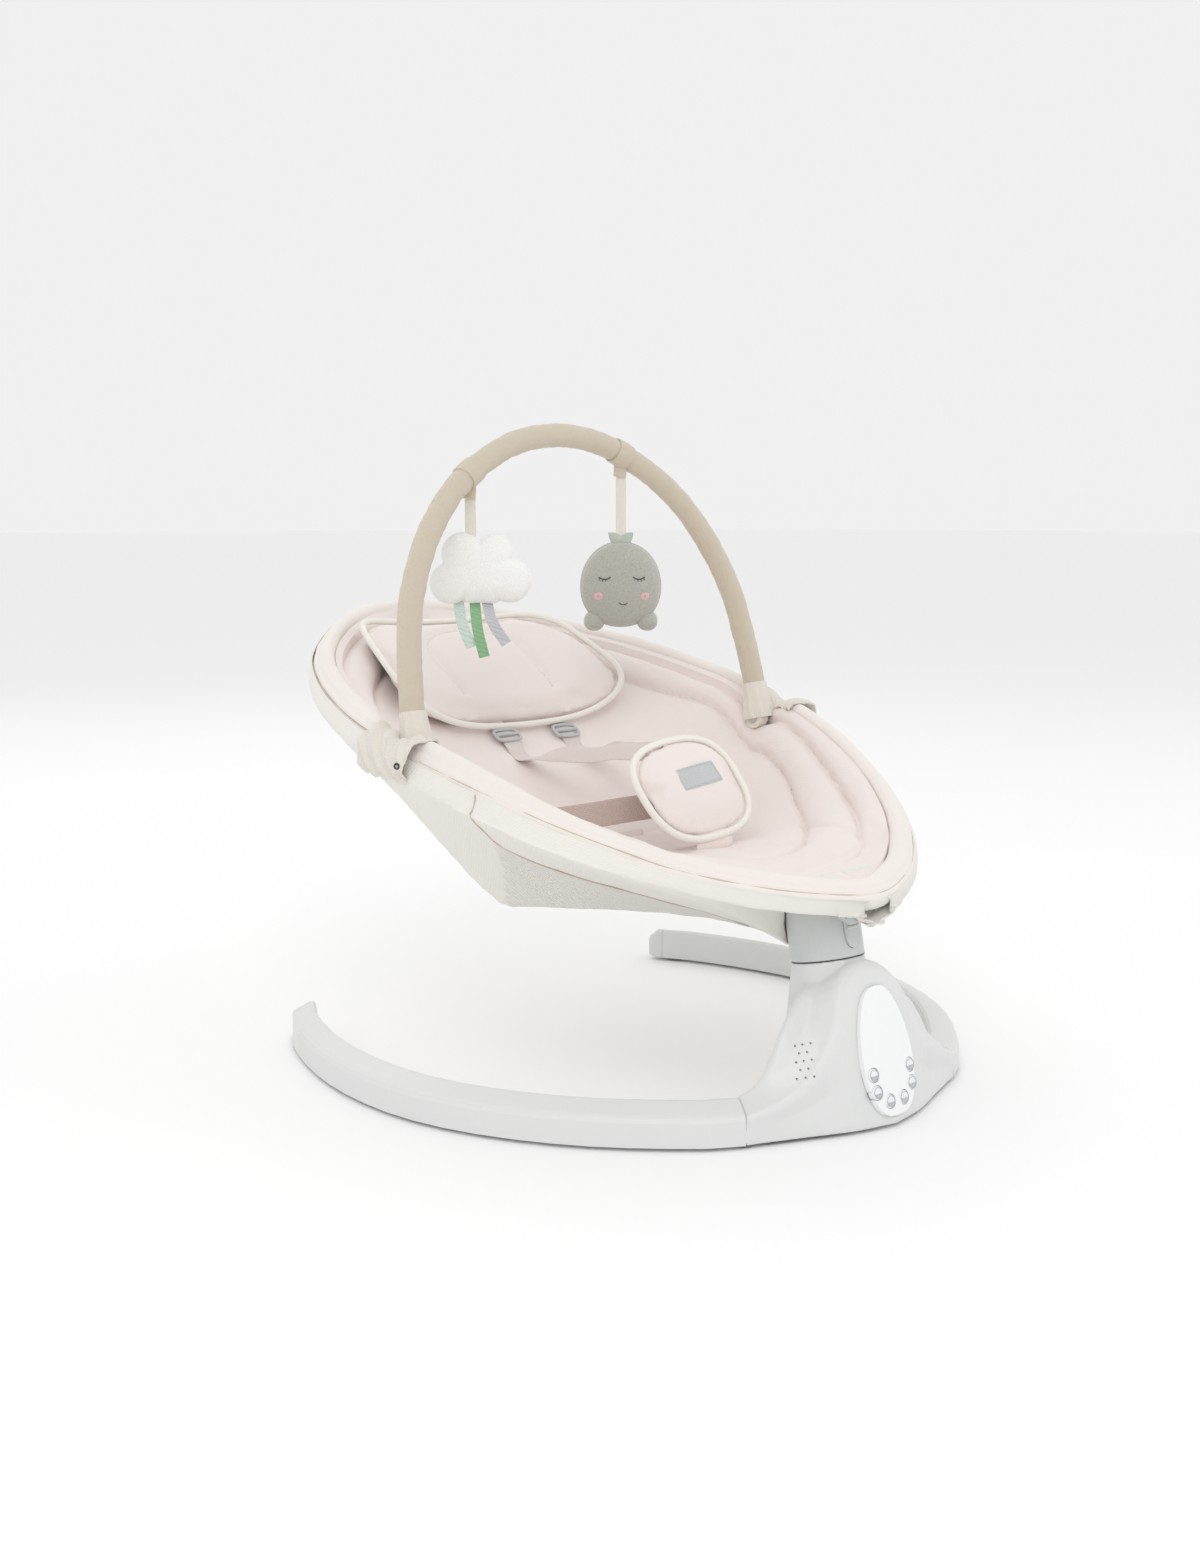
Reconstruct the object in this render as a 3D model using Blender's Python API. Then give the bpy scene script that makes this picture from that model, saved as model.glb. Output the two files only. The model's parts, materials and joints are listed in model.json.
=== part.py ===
"""Electric baby swing: a C-shaped floor base, a tilted swing post and a padded seat with a toy bar.

Frame: +Z up, floor at z = 0, -Y is the front (the post and the control panel), +Y is the head end,
and the object mirrors itself in X. Every size is in metres.
"""

import math

import bmesh
import bpy
from mathutils import Matrix, Vector

# Base
FLOOR_GAP = 0.003            # the shells stand this high on their rubber feet
RAIL_WIDTH = 0.028
RAIL_TIP_WIDTH = 0.023
RAIL_OUTER_HEIGHT = 0.027
RAIL_INNER_HEIGHT = 0.0345
WALL = 0.0026
GAP = 0.0003
SEAM_X = 0.131               # the rails start this far from the middle plane
RAIL_END_LENGTH = 0.016      # the end cap's visible length

# Outline of the base on the floor, from the nose to the tip of one rail
BASE_OUTLINE = [
    (0.000, -0.3555), (0.040, -0.347), (0.085, -0.329), (0.131, -0.311), (0.166, -0.289), (0.226, -0.229),
    (0.271, -0.158), (0.296, -0.085), (0.301, -0.010), (0.291, 0.064), (0.267, 0.140), (0.245, 0.180),
]

# Housing sections: heights and depths over the distance from the middle plane
RIDGE_Y = [(0, -0.313), (0.02, -0.314), (0.035, -0.319), (0.05, -0.325), (0.10, -0.3245), (0.12, -0.317),
           (0.131, -0.311)]
RIDGE_Z = [(0, 0.131), (0.015, 0.1285), (0.03, 0.119), (0.04, 0.106), (0.05, 0.084), (0.06, 0.067),
           (0.08, 0.050), (0.10, 0.0395), (0.12, 0.031), (0.131, 0.027)]
CREST_Y = [(0, -0.275), (0.04, -0.285), (0.06, -0.292), (0.08, -0.299), (0.10, -0.300), (0.131, -0.287)]
CREST_Z = [(0, 0.112), (0.04, 0.110), (0.06, 0.098), (0.08, 0.082), (0.10, 0.057), (0.12, 0.039),
           (0.131, 0.0345)]
INNER_Y = [(0, -0.236), (0.03, -0.243), (0.05, -0.256), (0.08, -0.272), (0.10, -0.280), (0.131, -0.283)]
FACE_BULGE = [(0, -0.0015), (0.03, -0.001), (0.045, 0.0), (0.062, 0.004), (0.09, 0.002), (0.131, 0.0)]

# Swing post and its tilted axis
POST_Y = -0.277
AXIS_TILT = math.radians(12.0)
PIVOT = Vector((0.0, POST_Y, 0.127))
AXIS = Vector((0.0, math.sin(AXIS_TILT), math.cos(AXIS_TILT)))
POST_RADIUS = 0.031
COLLAR_HEIGHT = 0.050
SHAFT_RADIUS = 0.006
BUSHING_BORE = 0.00608
BUSHING_RADIUS = 0.010

# Control panel: an egg-shaped plate that leans back
PANEL_BOTTOM = Vector((0.0, -0.3562, 0.0105))
PANEL_TOP = Vector((0.0, -0.3275, 0.1130))
PANEL_HALF_WIDTH = 0.0315
PANEL_THICK = 0.0040
PANEL_CROWN = 0.0026
KEY_RADIUS = 0.0058
KEY_CLEARANCE = 0.0004
KEY_PROUD = 0.0008
KEY_PLACES = {               # distance from the middle, distance up the panel
    "key_power": (-0.0225, 0.0370), "key_speed": (-0.0215, 0.0225), "key_timer": (-0.0085, 0.0130),
    "key_music": (0.0085, 0.0130), "key_nature": (0.0215, 0.0225), "key_volume": (0.0225, 0.0370),
}

# Seat: the rim is an egg in a plane that rises towards the head
RIM_SLOPE = 0.30
RIM_HEIGHT = 0.2821          # height of the rim's centre line at y = 0
RIM_OUTLINE = [
    (0.000, -0.3360), (0.060, -0.3175), (0.112, -0.284), (0.165, -0.234), (0.208, -0.170), (0.233, -0.107),
    (0.249, -0.037), (0.2555, 0.023), (0.250, 0.088), (0.232, 0.153), (0.199, 0.218), (0.150, 0.277),
    (0.095, 0.325), (0.045, 0.351), (0.000, 0.3572),
]
RIM_TUBE_RADIUS = 0.0090
PAD_RADIUS = 0.0165
PAD_BORE = 0.0094
PAD_SLIT = math.radians(17.0)
HIP = Vector((0.151, -0.018, 0.1485))     # the corner where the bottom of the seat turns up to the back
BACK_SLOPE = 0.67
SLING_THICK = 0.0026
LINER_OFFSET = 0.0195
LINER_THICK = 0.011
LINER_EDGE_DROP = 0.018
HIP_TUBE_RADIUS = 0.0055
PAD_UP = Vector((0, 0.606, 0.795))        # the crotch pad leans towards the head
PAD_OUT = Vector((0, -0.795, 0.606))

# Toy bar
BAR_PIVOT = Vector((0.0, 0.011, 0.2900))
BAR_LEAN = 0.222
BAR_ARCH = [                 # distance from the middle plane and height
    (0.2120, 0.3070), (0.2125, 0.332), (0.2060, 0.385), (0.1985, 0.418), (0.1835, 0.453), (0.1620, 0.487),
    (0.1330, 0.518), (0.0980, 0.5420), (0.0520, 0.5625), (0.000, 0.5700),
]
BAR_RADIUS = 0.0113
BAR_CORE_RADIUS = 0.0050
HUB_RADIUS = 0.0110
HUB_LENGTH = 0.0118
LOOP_PLACES = {"cloud": -0.115, "creature": 0.074}
TOY_TURN = math.radians(-38.0)   # the toys hang turned towards the left

# Colours, roughness and metallic value of each material
SHELL_GREY = ((0.72, 0.73, 0.72), 0.42, 0.0)
COLLAR_GREY = ((0.63, 0.65, 0.65), 0.42, 0.0)
PANEL_WHITE = ((0.84, 0.86, 0.88), 0.18, 0.0)
KEY_WHITE = ((0.80, 0.82, 0.84), 0.30, 0.0)
DARK_RUBBER = ((0.30, 0.30, 0.30), 0.80, 0.0)
STEEL = ((0.62, 0.62, 0.62), 0.30, 1.0)
BRASS = ((0.72, 0.55, 0.28), 0.35, 1.0)
COPPER = ((0.72, 0.38, 0.20), 0.40, 1.0)
BOARD_GREEN = ((0.06, 0.28, 0.14), 0.50, 0.0)
BLACK_PLASTIC = ((0.05, 0.05, 0.05), 0.45, 0.0)
CREAM_KNIT = ((0.88, 0.84, 0.78), 0.92, 0.0)
BLUSH_JERSEY = ((0.86, 0.78, 0.74), 0.90, 0.0)
BEIGE_CANVAS = ((0.68, 0.59, 0.47), 0.92, 0.0)
MAUVE_WEB = ((0.60, 0.47, 0.42), 0.88, 0.0)
SLIDER_GREY = ((0.60, 0.62, 0.63), 0.40, 0.0)
WHITE_PLUSH = ((0.86, 0.86, 0.84), 0.95, 0.0)
GREY_PLUSH = ((0.44, 0.46, 0.40), 0.95, 0.0)
LEAF_GREEN = ((0.55, 0.60, 0.52), 0.95, 0.0)
RIBBON_MINT = ((0.62, 0.78, 0.70), 0.70, 0.0)
RIBBON_GREEN = ((0.30, 0.55, 0.30), 0.70, 0.0)
RIBBON_GREY = ((0.58, 0.59, 0.62), 0.70, 0.0)


# Small helpers -------------------------------------------------------------------------------------

def clear_scene():
    """Remove every object that the file opens with."""
    for item in list(bpy.data.objects):
        bpy.data.objects.remove(item, do_unlink=True)


def material(name, look):
    """A Principled material with the given colour, roughness and metallic value."""
    colour, roughness, metallic = look
    made = bpy.data.materials.new(name)
    made.use_nodes = True
    shader = made.node_tree.nodes["Principled BSDF"]
    shader.inputs["Base Color"].default_value = (*colour, 1.0)
    shader.inputs["Roughness"].default_value = roughness
    shader.inputs["Metallic"].default_value = metallic
    made.diffuse_color = (*colour, 1.0)
    return made


def mesh_object(name, bm, look=None, origin=Vector(), smooth=True):
    """Turn a bmesh into a named object whose origin sits at the given point."""
    bmesh.ops.recalc_face_normals(bm, faces=bm.faces)
    bmesh.ops.translate(bm, verts=bm.verts, vec=-origin)
    mesh = bpy.data.meshes.new(name)
    bm.to_mesh(mesh)
    bm.free()
    if smooth:
        mesh.shade_smooth()
        mesh.set_sharp_from_angle(angle=math.radians(38))
    made = bpy.data.objects.new(name, mesh)
    made.location = origin
    bpy.context.collection.objects.link(made)
    if look is None:
        made.hide_render = True
        made.display_type = "WIRE"
    else:
        mesh.materials.append(material(name, look))
    return made


def add_rings(bm, rings, closed=False, capped=True):
    """Skin equal rings of points with quads, and fill the two ends."""
    rows = [[bm.verts.new(point) for point in ring] for ring in rings]
    pairs = list(zip(rows, rows[1:]))
    if closed:
        pairs.append((rows[-1], rows[0]))
    for low, high in pairs:
        for i in range(len(low)):
            j = (i + 1) % len(low)
            bm.faces.new((low[i], low[j], high[j], high[i]))
    if capped and not closed:
        bm.faces.new(rows[0])
        bm.faces.new(rows[-1])
    return rows


def loft(name, rings, look=None, origin=Vector(), closed=False, triangles=False):
    """One solid skinned over its rings."""
    bm = bmesh.new()
    add_rings(bm, rings, closed)
    if triangles:
        bmesh.ops.triangulate(bm, faces=bm.faces)
    return mesh_object(name, bm, look, origin)


def pipe(name, outer, inner, look, origin=Vector()):
    """A hollow solid, open at both ends, between outer and inner rings."""
    bm = bmesh.new()
    outside = add_rings(bm, outer, capped=False)
    inside = add_rings(bm, inner, capped=False)
    for end in (0, -1):
        count = len(outside[end])
        for i in range(count):
            j = (i + 1) % count
            bm.faces.new((outside[end][i], outside[end][j], inside[end][j], inside[end][i]))
    return mesh_object(name, bm, look, origin)


def boolean(target, tool, operation):
    """Combine a solid with a tool body that the build leaves out."""
    change = target.modifiers.new(tool.name, "BOOLEAN")
    change.operation = operation
    change.object = tool
    change.solver = "EXACT"


def spline(knots, steps, start_on_middle=False, end_on_middle=False):
    """A smooth curve through the knots; an end on the middle plane runs square across it."""
    points = [Vector(knot) for knot in knots]
    before = mirrored(points[1]) if start_on_middle else points[0] * 2 - points[1]
    after = mirrored(points[-2]) if end_on_middle else points[-1] * 2 - points[-2]
    padded = [before, *points, after]
    curve = []
    for a, b, c, d in zip(padded, padded[1:], padded[2:], padded[3:]):
        for k in range(steps):
            t = k / steps
            curve.append(0.5 * (2 * b + (c - a) * t + (2 * a - 5 * b + 4 * c - d) * t * t
                                + (3 * b - a - 3 * c + d) * t ** 3))
    curve.append(points[-1])
    return curve


def even(points, count):
    """The same line with evenly spaced points."""
    lengths = [0.0]
    for a, b in zip(points, points[1:]):
        lengths.append(lengths[-1] + (b - a).length)
    result = []
    k = 0
    for i in range(count):
        goal = lengths[-1] * i / (count - 1)
        while k < len(points) - 2 and lengths[k + 1] < goal:
            k += 1
        part = (goal - lengths[k]) / (lengths[k + 1] - lengths[k])
        result.append(points[k].lerp(points[k + 1], part))
    return result


def lookup(knots, x):
    """A value read from a smooth curve through (x, value) knots."""
    x = min(max(x, knots[0][0]), knots[-1][0])
    slopes = [(b[1] - a[1]) / (b[0] - a[0]) for a, b in zip(knots, knots[1:])]
    for i, (a, b) in enumerate(zip(knots, knots[1:])):
        if x <= b[0]:
            left = slopes[i] if i == 0 else 0.5 * (slopes[i - 1] + slopes[i])
            right = slopes[i] if i == len(slopes) - 1 else 0.5 * (slopes[i] + slopes[i + 1])
            width = b[0] - a[0]
            t = (x - a[0]) / width
            return ((1 + 2 * t) * (1 - t) ** 2 * a[1] + t * (1 - t) ** 2 * width * left
                    + t * t * (3 - 2 * t) * b[1] + t * t * (t - 1) * width * right)
    return knots[-1][1]


def circle(centre, normal, radius, sides, up=Vector((0, 0, 1))):
    """A ring of points around an axis, starting at the side nearest to up."""
    side = normal.cross(up)
    if side.length < 1e-6:
        side = normal.cross(Vector((1, 0, 0)))
    side.normalize()
    top = side.cross(normal).normalized()
    ring = []
    for k in range(sides):
        angle = 2 * math.pi * k / sides
        ring.append(centre + radius * (math.cos(angle) * top + math.sin(angle) * side))
    return ring


def turned(name, base, axis, profile, sides, look=None, origin=Vector()):
    """A solid turned about an axis from (distance along it, radius) steps."""
    rings = [circle(base + axis * along, axis, radius, sides) for along, radius in profile]
    return loft(name, rings, look, origin)


def sleeve(name, base, axis, length, outer, bore, sides, look, origin=Vector()):
    """A plain bushing around an axis."""
    ends = (base, base + axis * length)
    outside = [circle(end, axis, outer, sides) for end in ends]
    inside = [circle(end, axis, bore, sides) for end in ends]
    return pipe(name, outside, inside, look, origin)


def tube_rings(path, radius, sides, closed=False):
    """Rings across a path, kept square to it."""
    rings = []
    count = len(path)
    for i, point in enumerate(path):
        before = path[i - 1] if i or closed else point
        after = path[(i + 1) % count] if i < count - 1 or closed else point
        rings.append(circle(point, (after - before).normalized(), radius, sides))
    return rings


def slab(name, outline, low, high, look=None):
    """An upright prism over an outline in the floor plane."""
    return loft(name, [[Vector((x, y, z)) for x, y in outline] for z in (low, high)], look)


def mirrored(point):
    """The same point on the other side of the middle plane."""
    return Vector((-point.x, point.y, point.z))


def side_of(name):
    """The side that a left or right piece belongs to, as a sign on X."""
    return -1.0 if name.endswith("left") else 1.0


# Base ----------------------------------------------------------------------------------------------

def rail_path(count):
    """Floor outline of one rail from the seam to the tip."""
    full = spline([(x, y, 0.0) for x, y in BASE_OUTLINE], 10, start_on_middle=True)
    seam = 3 * 10
    return even(full[seam:], count)


def rail_profile(width, inset=0.0):
    """Section of a rail as (distance inward, height) from its outer bottom edge."""
    low = FLOOR_GAP + inset
    top = RAIL_OUTER_HEIGHT - inset
    crown = RAIL_INNER_HEIGHT - inset * 1.1
    return [
        (inset, low), (inset, top - 0.004), (inset + 0.0016, top - 0.0004), (inset + 0.0050, top + 0.0016),
        (width - inset - 0.0065, crown - 0.0002), (width - inset - 0.0030, crown),
        (width - inset - 0.0006, crown - 0.0024), (width - inset, crown - 0.0060), (width - inset, low),
    ]


def rail_ring(point, along, width, side, inset=0.0):
    """The rail's section set across the path at a point."""
    inward = Vector((-along.y, along.x, 0.0))
    ring = [point + inward * u + Vector((0, 0, z)) for u, z in rail_profile(width, inset)]
    return [Vector((side * p.x, p.y, p.z)) for p in ring]


def rail_stations(count):
    """Points, directions and widths along a rail."""
    path = rail_path(count)
    stations = []
    for i, point in enumerate(path):
        along = (path[min(i + 1, count - 1)] - path[max(i - 1, 0)]).normalized()
        width = RAIL_WIDTH + (RAIL_TIP_WIDTH - RAIL_WIDTH) * (i / (count - 1)) ** 2
        stations.append((point, along, width))
    return stations


def make_rail(name):
    """A hollow rail between the housing's seam and the end cap."""
    side = side_of(name)
    stations = rail_stations(19)
    outer = [rail_ring(p, a, w, side) for p, a, w in stations]
    inner = [rail_ring(p, a, w, side, WALL) for p, a, w in stations]
    return pipe(name, outer, inner, SHELL_GREY)


def make_rail_cap(name):
    """The cap that closes a rail: a plug inside it and a bevelled nose outside."""
    side = side_of(name)
    point, along, width = rail_stations(19)[-1]
    steps = [(-0.012, WALL + 2 * GAP, 0.0), (GAP, WALL + 2 * GAP, 0.0), (GAP, 0.0, 0.0), (0.006, 0.0, 0.0),
             (RAIL_END_LENGTH, 0.0022, 0.006)]
    rings = []
    for ahead, inset, drop in steps:
        ring = rail_ring(point + along * ahead, along, width, side, inset)
        rings.append([p - Vector((0, 0, drop if p.z > 0.015 else 0.0)) for p in ring])
    return loft(name, rings, SHELL_GREY)


def housing_ring(x, side):
    """Section of the housing at a distance from the middle plane."""
    outer = lookup([(px, py) for px, py in BASE_OUTLINE[:4]], x)
    ridge = Vector((lookup(RIDGE_Y, x), lookup(RIDGE_Z, x)))
    crest = Vector((lookup(CREST_Y, x), lookup(CREST_Z, x)))
    inner = lookup(INNER_Y, x)
    bulge = lookup(FACE_BULGE, x)
    tall = (ridge.y - RAIL_OUTER_HEIGHT) / 0.104
    foot = Vector((outer, 0.010))
    brow = ridge + Vector((-0.0012 - 0.0115 * tall, -0.004 - 0.015 * tall))
    face = foot.lerp(brow, 0.5) + Vector((bulge, 0.0))
    valley = (ridge + Vector((0.004, 0.001))).lerp(crest, 0.5) + Vector((0.0035, -0.0035)) * (1 - x / SEAM_X)
    heel = Vector((inner, min(0.028, crest.y - 0.0065)))
    points = [
        Vector((outer, FLOOR_GAP)), foot, face, brow,
        ridge + Vector((-0.0012 - 0.0045 * tall, -0.0018 - 0.0035 * tall)),
        ridge, ridge + Vector((0.0044, 0.0010)), valley, crest + Vector((-0.0035, -0.0004)), crest,
        crest + Vector((0.003, -0.0024)), crest.lerp(heel, 0.5) + Vector((0.0005, -0.001)), heel,
        Vector((inner, FLOOR_GAP)),
    ]
    return [lean_out(x, y, z, outer, side) for y, z in points]


def lean_out(x, y, z, outer, side):
    """Place a section point; near the seam the sections turn square to the rail."""
    along = rail_stations(19)[0][1]
    lean = along.y / along.x * smooth_step((x - 0.08) / (SEAM_X - 0.08))
    return Vector((side * (x - (y - outer) * lean), y, z))


def smooth_step(t):
    """A blend from 0 to 1 with level ends."""
    t = min(max(t, 0.0), 1.0)
    return t * t * (3 - 2 * t)


def make_housing():
    """The front shell: a panel lobe, two wings that sink into the rails, and the swing post."""
    xs = [0.0, 0.010, 0.020, 0.028, 0.035, 0.041, 0.047, 0.053, 0.060, 0.069, 0.080, 0.092, 0.105, 0.118]
    xs.append(SEAM_X - GAP)
    rings = [housing_ring(x, -1) for x in reversed(xs[1:])] + [housing_ring(x, 1) for x in xs]
    shell = loft("housing", rings, SHELL_GREY, triangles=True)
    boolean(shell, make_post_form(), "UNION")
    boolean(shell, make_wing_cavity(-1), "DIFFERENCE")
    boolean(shell, make_wing_cavity(1), "DIFFERENCE")
    boolean(shell, make_core_cavity(), "DIFFERENCE")
    wide = BUSHING_RADIUS + GAP
    bore = turned("bushing_bore", PIVOT, AXIS, [(-0.070, wide), (0.004, wide)], 32)
    boolean(shell, bore, "DIFFERENCE")
    boolean(shell, make_panel_body("panel_recess", None, GAP, PANEL_THICK + GAP), "DIFFERENCE")
    boolean(shell, make_key_wells("key_wells", 0.0028), "DIFFERENCE")
    boolean(shell, make_speaker_holes(), "DIFFERENCE")
    boolean(shell, make_socket_hole(), "DIFFERENCE")
    return shell


def make_post_form():
    """The round post, which leans back at its top edge only."""
    rings = []
    sizes = ((FLOOR_GAP, 0.0385), (0.030, 0.0375), (0.060, 0.0355), (0.090, 0.0330), (0.112, 0.0315),
             (0.127, POST_RADIUS))
    for z, radius in sizes:
        tilt = AXIS_TILT * (z / PIVOT.z) ** 2
        normal = Vector((0.0, math.sin(tilt), math.cos(tilt)))
        rings.append(circle(Vector((0.0, POST_Y, z)), normal, radius, 40, up=Vector((0, -1, 0))))
    return loft("post_form", rings)


def make_wing_cavity(side):
    """The hollow of one wing, open below."""
    xs = [0.040, 0.050, 0.060, 0.072, 0.086, 0.100, 0.114]
    rings = []
    for x in xs:
        outer = lookup([(px, py) for px, py in BASE_OUTLINE[:4]], x)
        inner = lookup(INNER_Y, x)
        points = [
            (outer + 0.0055, -0.004), (lookup(RIDGE_Y, x) + 0.0075, lookup(RIDGE_Z, x) - 0.0105),
            (lookup(CREST_Y, x), lookup(CREST_Z, x) - 0.0135), (inner - 0.0060, 0.016),
            (inner - 0.0060, -0.004),
        ]
        rings.append([lean_out(x, y, z, outer, side) for y, z in points])
    return loft("wing_cavity_left" if side < 0 else "wing_cavity_right", rings)


def make_core_cavity():
    """The hollow behind the panel and under the bushing, open below."""
    levels = [(-0.004, 0.0350, -0.3440, -0.2450, 0.008), (0.0065, 0.0343, -0.3425, -0.2450, 0.008),
              (0.014, 0.0315, -0.3410, -0.2475, 0.0125), (0.030, 0.0310, -0.3390, -0.2480, 0.0125),
              (0.079, 0.0245, -0.3165, -0.2540, 0.0125)]
    rings = []
    for z, half, front, rear, corner in levels:
        ring = []
        for cx, cy, start in ((half, rear, 0), (-half, rear, 90), (-half, front, 180), (half, front, 270)):
            for k in range(4):
                angle = math.radians(start + 30 * k)
                centre = Vector((cx - math.copysign(corner, cx), cy - math.copysign(corner, cy - POST_Y), z))
                ring.append(centre + corner * Vector((math.cos(angle), math.sin(angle), 0)))
        rings.append(ring)
    return loft("core_cavity", rings)


def make_speaker_holes():
    """Fourteen small sound holes on the left side of the post's foot."""
    bm = bmesh.new()
    for row in range(5):
        for column in range(3 - row % 2):
            x = -0.070 + 0.0065 * column + 0.0032 * (row % 2) + 0.002 * row
            z = 0.058 + 0.0062 * row
            start = Vector((x - 0.008, -0.3300, z + 0.004))
            heading = Vector((0.25, 1.0, -0.22)).normalized()
            ends = (start, start + heading * 0.052)
            add_rings(bm, [circle(end, heading, 0.0009, 6) for end in ends])
    return mesh_object("speaker_holes", bm)


def make_socket_hole():
    """Opening for the power socket at the back of the post."""
    start = Vector((0.0, -0.2300, 0.020))
    return turned("socket_hole", start, Vector((0, -1, 0)), [(0.0, 0.0058), (0.030, 0.0058)], 24)


def make_base_plate():
    """The flat cover under the core of the housing."""
    outline = [(0.0334, -0.3355), (0.0334, -0.2520), (0.0270, -0.2458), (-0.0270, -0.2458),
               (-0.0334, -0.2520), (-0.0334, -0.3355), (-0.0270, -0.3415), (0.0270, -0.3415)]
    return slab("base_plate", outline, FLOOR_GAP, FLOOR_GAP + 0.0024, SHELL_GREY)


def make_feet():
    """Round rubber feet under the housing and the rails."""
    stations = rail_stations(19)
    point, along, width = stations[-1]
    centre = point + Vector((-along.y, along.x, 0)) * (width / 2) - along * 0.012
    for side in ("left", "right"):
        add_foot(f"foot_tip_{side}", Vector((side_of(side) * centre.x, centre.y, 0)), 0.0095)
        add_foot(f"foot_front_{side}", Vector((side_of(side) * 0.1225, -0.3000, 0)), 0.0095)


def add_foot(name, centre, radius):
    """One low rubber disc with a rounded lower edge."""
    height = FLOOR_GAP - GAP
    side_view = [(0, radius - 0.001), (0.001, radius), (height, radius)]
    turned(name, centre, Vector((0, 0, 1)), side_view, 16, DARK_RUBBER)


# Control panel -------------------------------------------------------------------------------------

def panel_frame():
    """The panel's lower end, its up direction and its outward direction."""
    up = (PANEL_TOP - PANEL_BOTTOM).normalized()
    return PANEL_BOTTOM, up, Vector((1, 0, 0)).cross(up).normalized()


def panel_outline(grow):
    """The egg: distances from the middle and up the panel, widest near the lower end."""
    length = (PANEL_TOP - PANEL_BOTTOM).length
    outline = []
    for k in range(36):
        angle = 2 * math.pi * k / 36
        rise = 0.5 - 0.5 * math.cos(angle)
        fullness = math.copysign(abs(math.sin(angle)) ** 0.72, math.sin(angle))
        half = PANEL_HALF_WIDTH * (1.0 - 0.22 * rise ** 2.2)
        outline.append(((half + grow) * fullness, (length + 2 * grow) * rise - grow))
    return outline


def make_panel_body(name, look, grow, depth):
    """A crowned plate, or with no look the pocket it sits in."""
    base, up, out = panel_frame()
    middle = (PANEL_TOP - PANEL_BOTTOM).length * 0.42
    steps = [(1.0, -depth), (1.0, 0.0006), (0.97, 0.0014), (0.80, 0.0022), (0.50, PANEL_CROWN + 0.0002),
             (0.18, PANEL_CROWN + 0.0006)]
    if look is None:
        steps = [(1.0, -depth), (1.0, 0.012)]
    rings = []
    for scale, lift in steps:
        ring = []
        for across, along in panel_outline(grow):
            along = middle + (along - middle) * scale
            ring.append(base + Vector((across * scale, 0, 0)) + up * along + out * lift)
        rings.append(ring)
    return loft(name, rings, look)


def key_seat(across, along):
    """Where a key meets the crowned face, and the way it faces."""
    base, up, out = panel_frame()
    lift = 0.0014 + 0.0006 * (1 - abs(across) / PANEL_HALF_WIDTH)
    return base + Vector((across, 0, 0)) + up * along + out * lift, out


def make_key_wells(name, depth):
    """Round wells that go through the panel and a little way into the shell behind it."""
    bm = bmesh.new()
    for across, along in KEY_PLACES.values():
        seat, out = key_seat(across, along)
        radius = KEY_RADIUS + KEY_CLEARANCE
        ends = (seat - out * (PANEL_THICK + depth), seat + out * 0.006)
        add_rings(bm, [circle(end, out, radius, 20) for end in ends])
    return mesh_object(name, bm)


def make_panel():
    """The glossy panel with its six key holes."""
    panel = make_panel_body("control_panel", PANEL_WHITE, 0.0, PANEL_THICK)
    boolean(panel, make_key_wells("key_holes", 0.0028), "DIFFERENCE")


def make_keys():
    """Six round push keys."""
    for name, (across, along) in KEY_PLACES.items():
        seat, out = key_seat(across, along)
        profile = [(-PANEL_THICK - 0.0006, KEY_RADIUS), (KEY_PROUD - 0.0008, KEY_RADIUS),
                   (KEY_PROUD, KEY_RADIUS - 0.0008), (KEY_PROUD + 0.0003, KEY_RADIUS * 0.5)]
        turned(name, seat, out, profile, 20, KEY_WHITE, origin=seat)


# Drive ---------------------------------------------------------------------------------------------

def make_drive():
    """What is inside the post: bushing, shaft, magnet, coil, circuit board, speaker and power socket."""
    sleeve("swing_bushing", PIVOT - AXIS * 0.050, AXIS, 0.0495, BUSHING_RADIUS, BUSHING_BORE, 48, BRASS)
    shaft = [(-0.066, SHAFT_RADIUS), (0.022, SHAFT_RADIUS)]
    turned("swing_shaft", PIVOT, AXIS, shaft, 48, STEEL, origin=PIVOT)
    low = PIVOT - AXIS * 0.0640
    sleeve("drive_magnet", low, AXIS, 0.008, 0.0160, SHAFT_RADIUS + GAP, 24, STEEL, origin=PIVOT)
    sleeve("drive_coil", PIVOT - AXIS * 0.0820, AXIS, 0.010, 0.0170, 0.0070, 24, COPPER)
    base, up, out = panel_frame()
    corners = [(-0.021, 0.012), (0.021, 0.012), (0.021, 0.045), (-0.021, 0.045)]
    sheets = []
    for back in (0.0215, 0.0231):
        sheets.append([base + Vector((x, 0, 0)) + up * y - out * back for x, y in corners])
    loft("circuit_board", sheets, BOARD_GREEN)
    cone = [(0.0, 0.0085), (0.003, 0.0085), (0.008, 0.0050), (0.012, 0.0050)]
    turned("speaker", Vector((-0.0585, -0.2960, 0.0400)), Vector((0, 0, -1)), cone, 20, BLACK_PLASTIC)
    start = Vector((0.0, -0.2395, 0.020))
    sleeve("power_socket", start, Vector((0, -1, 0)), 0.012, 0.0055, 0.0030, 24, BLACK_PLASTIC)


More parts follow.
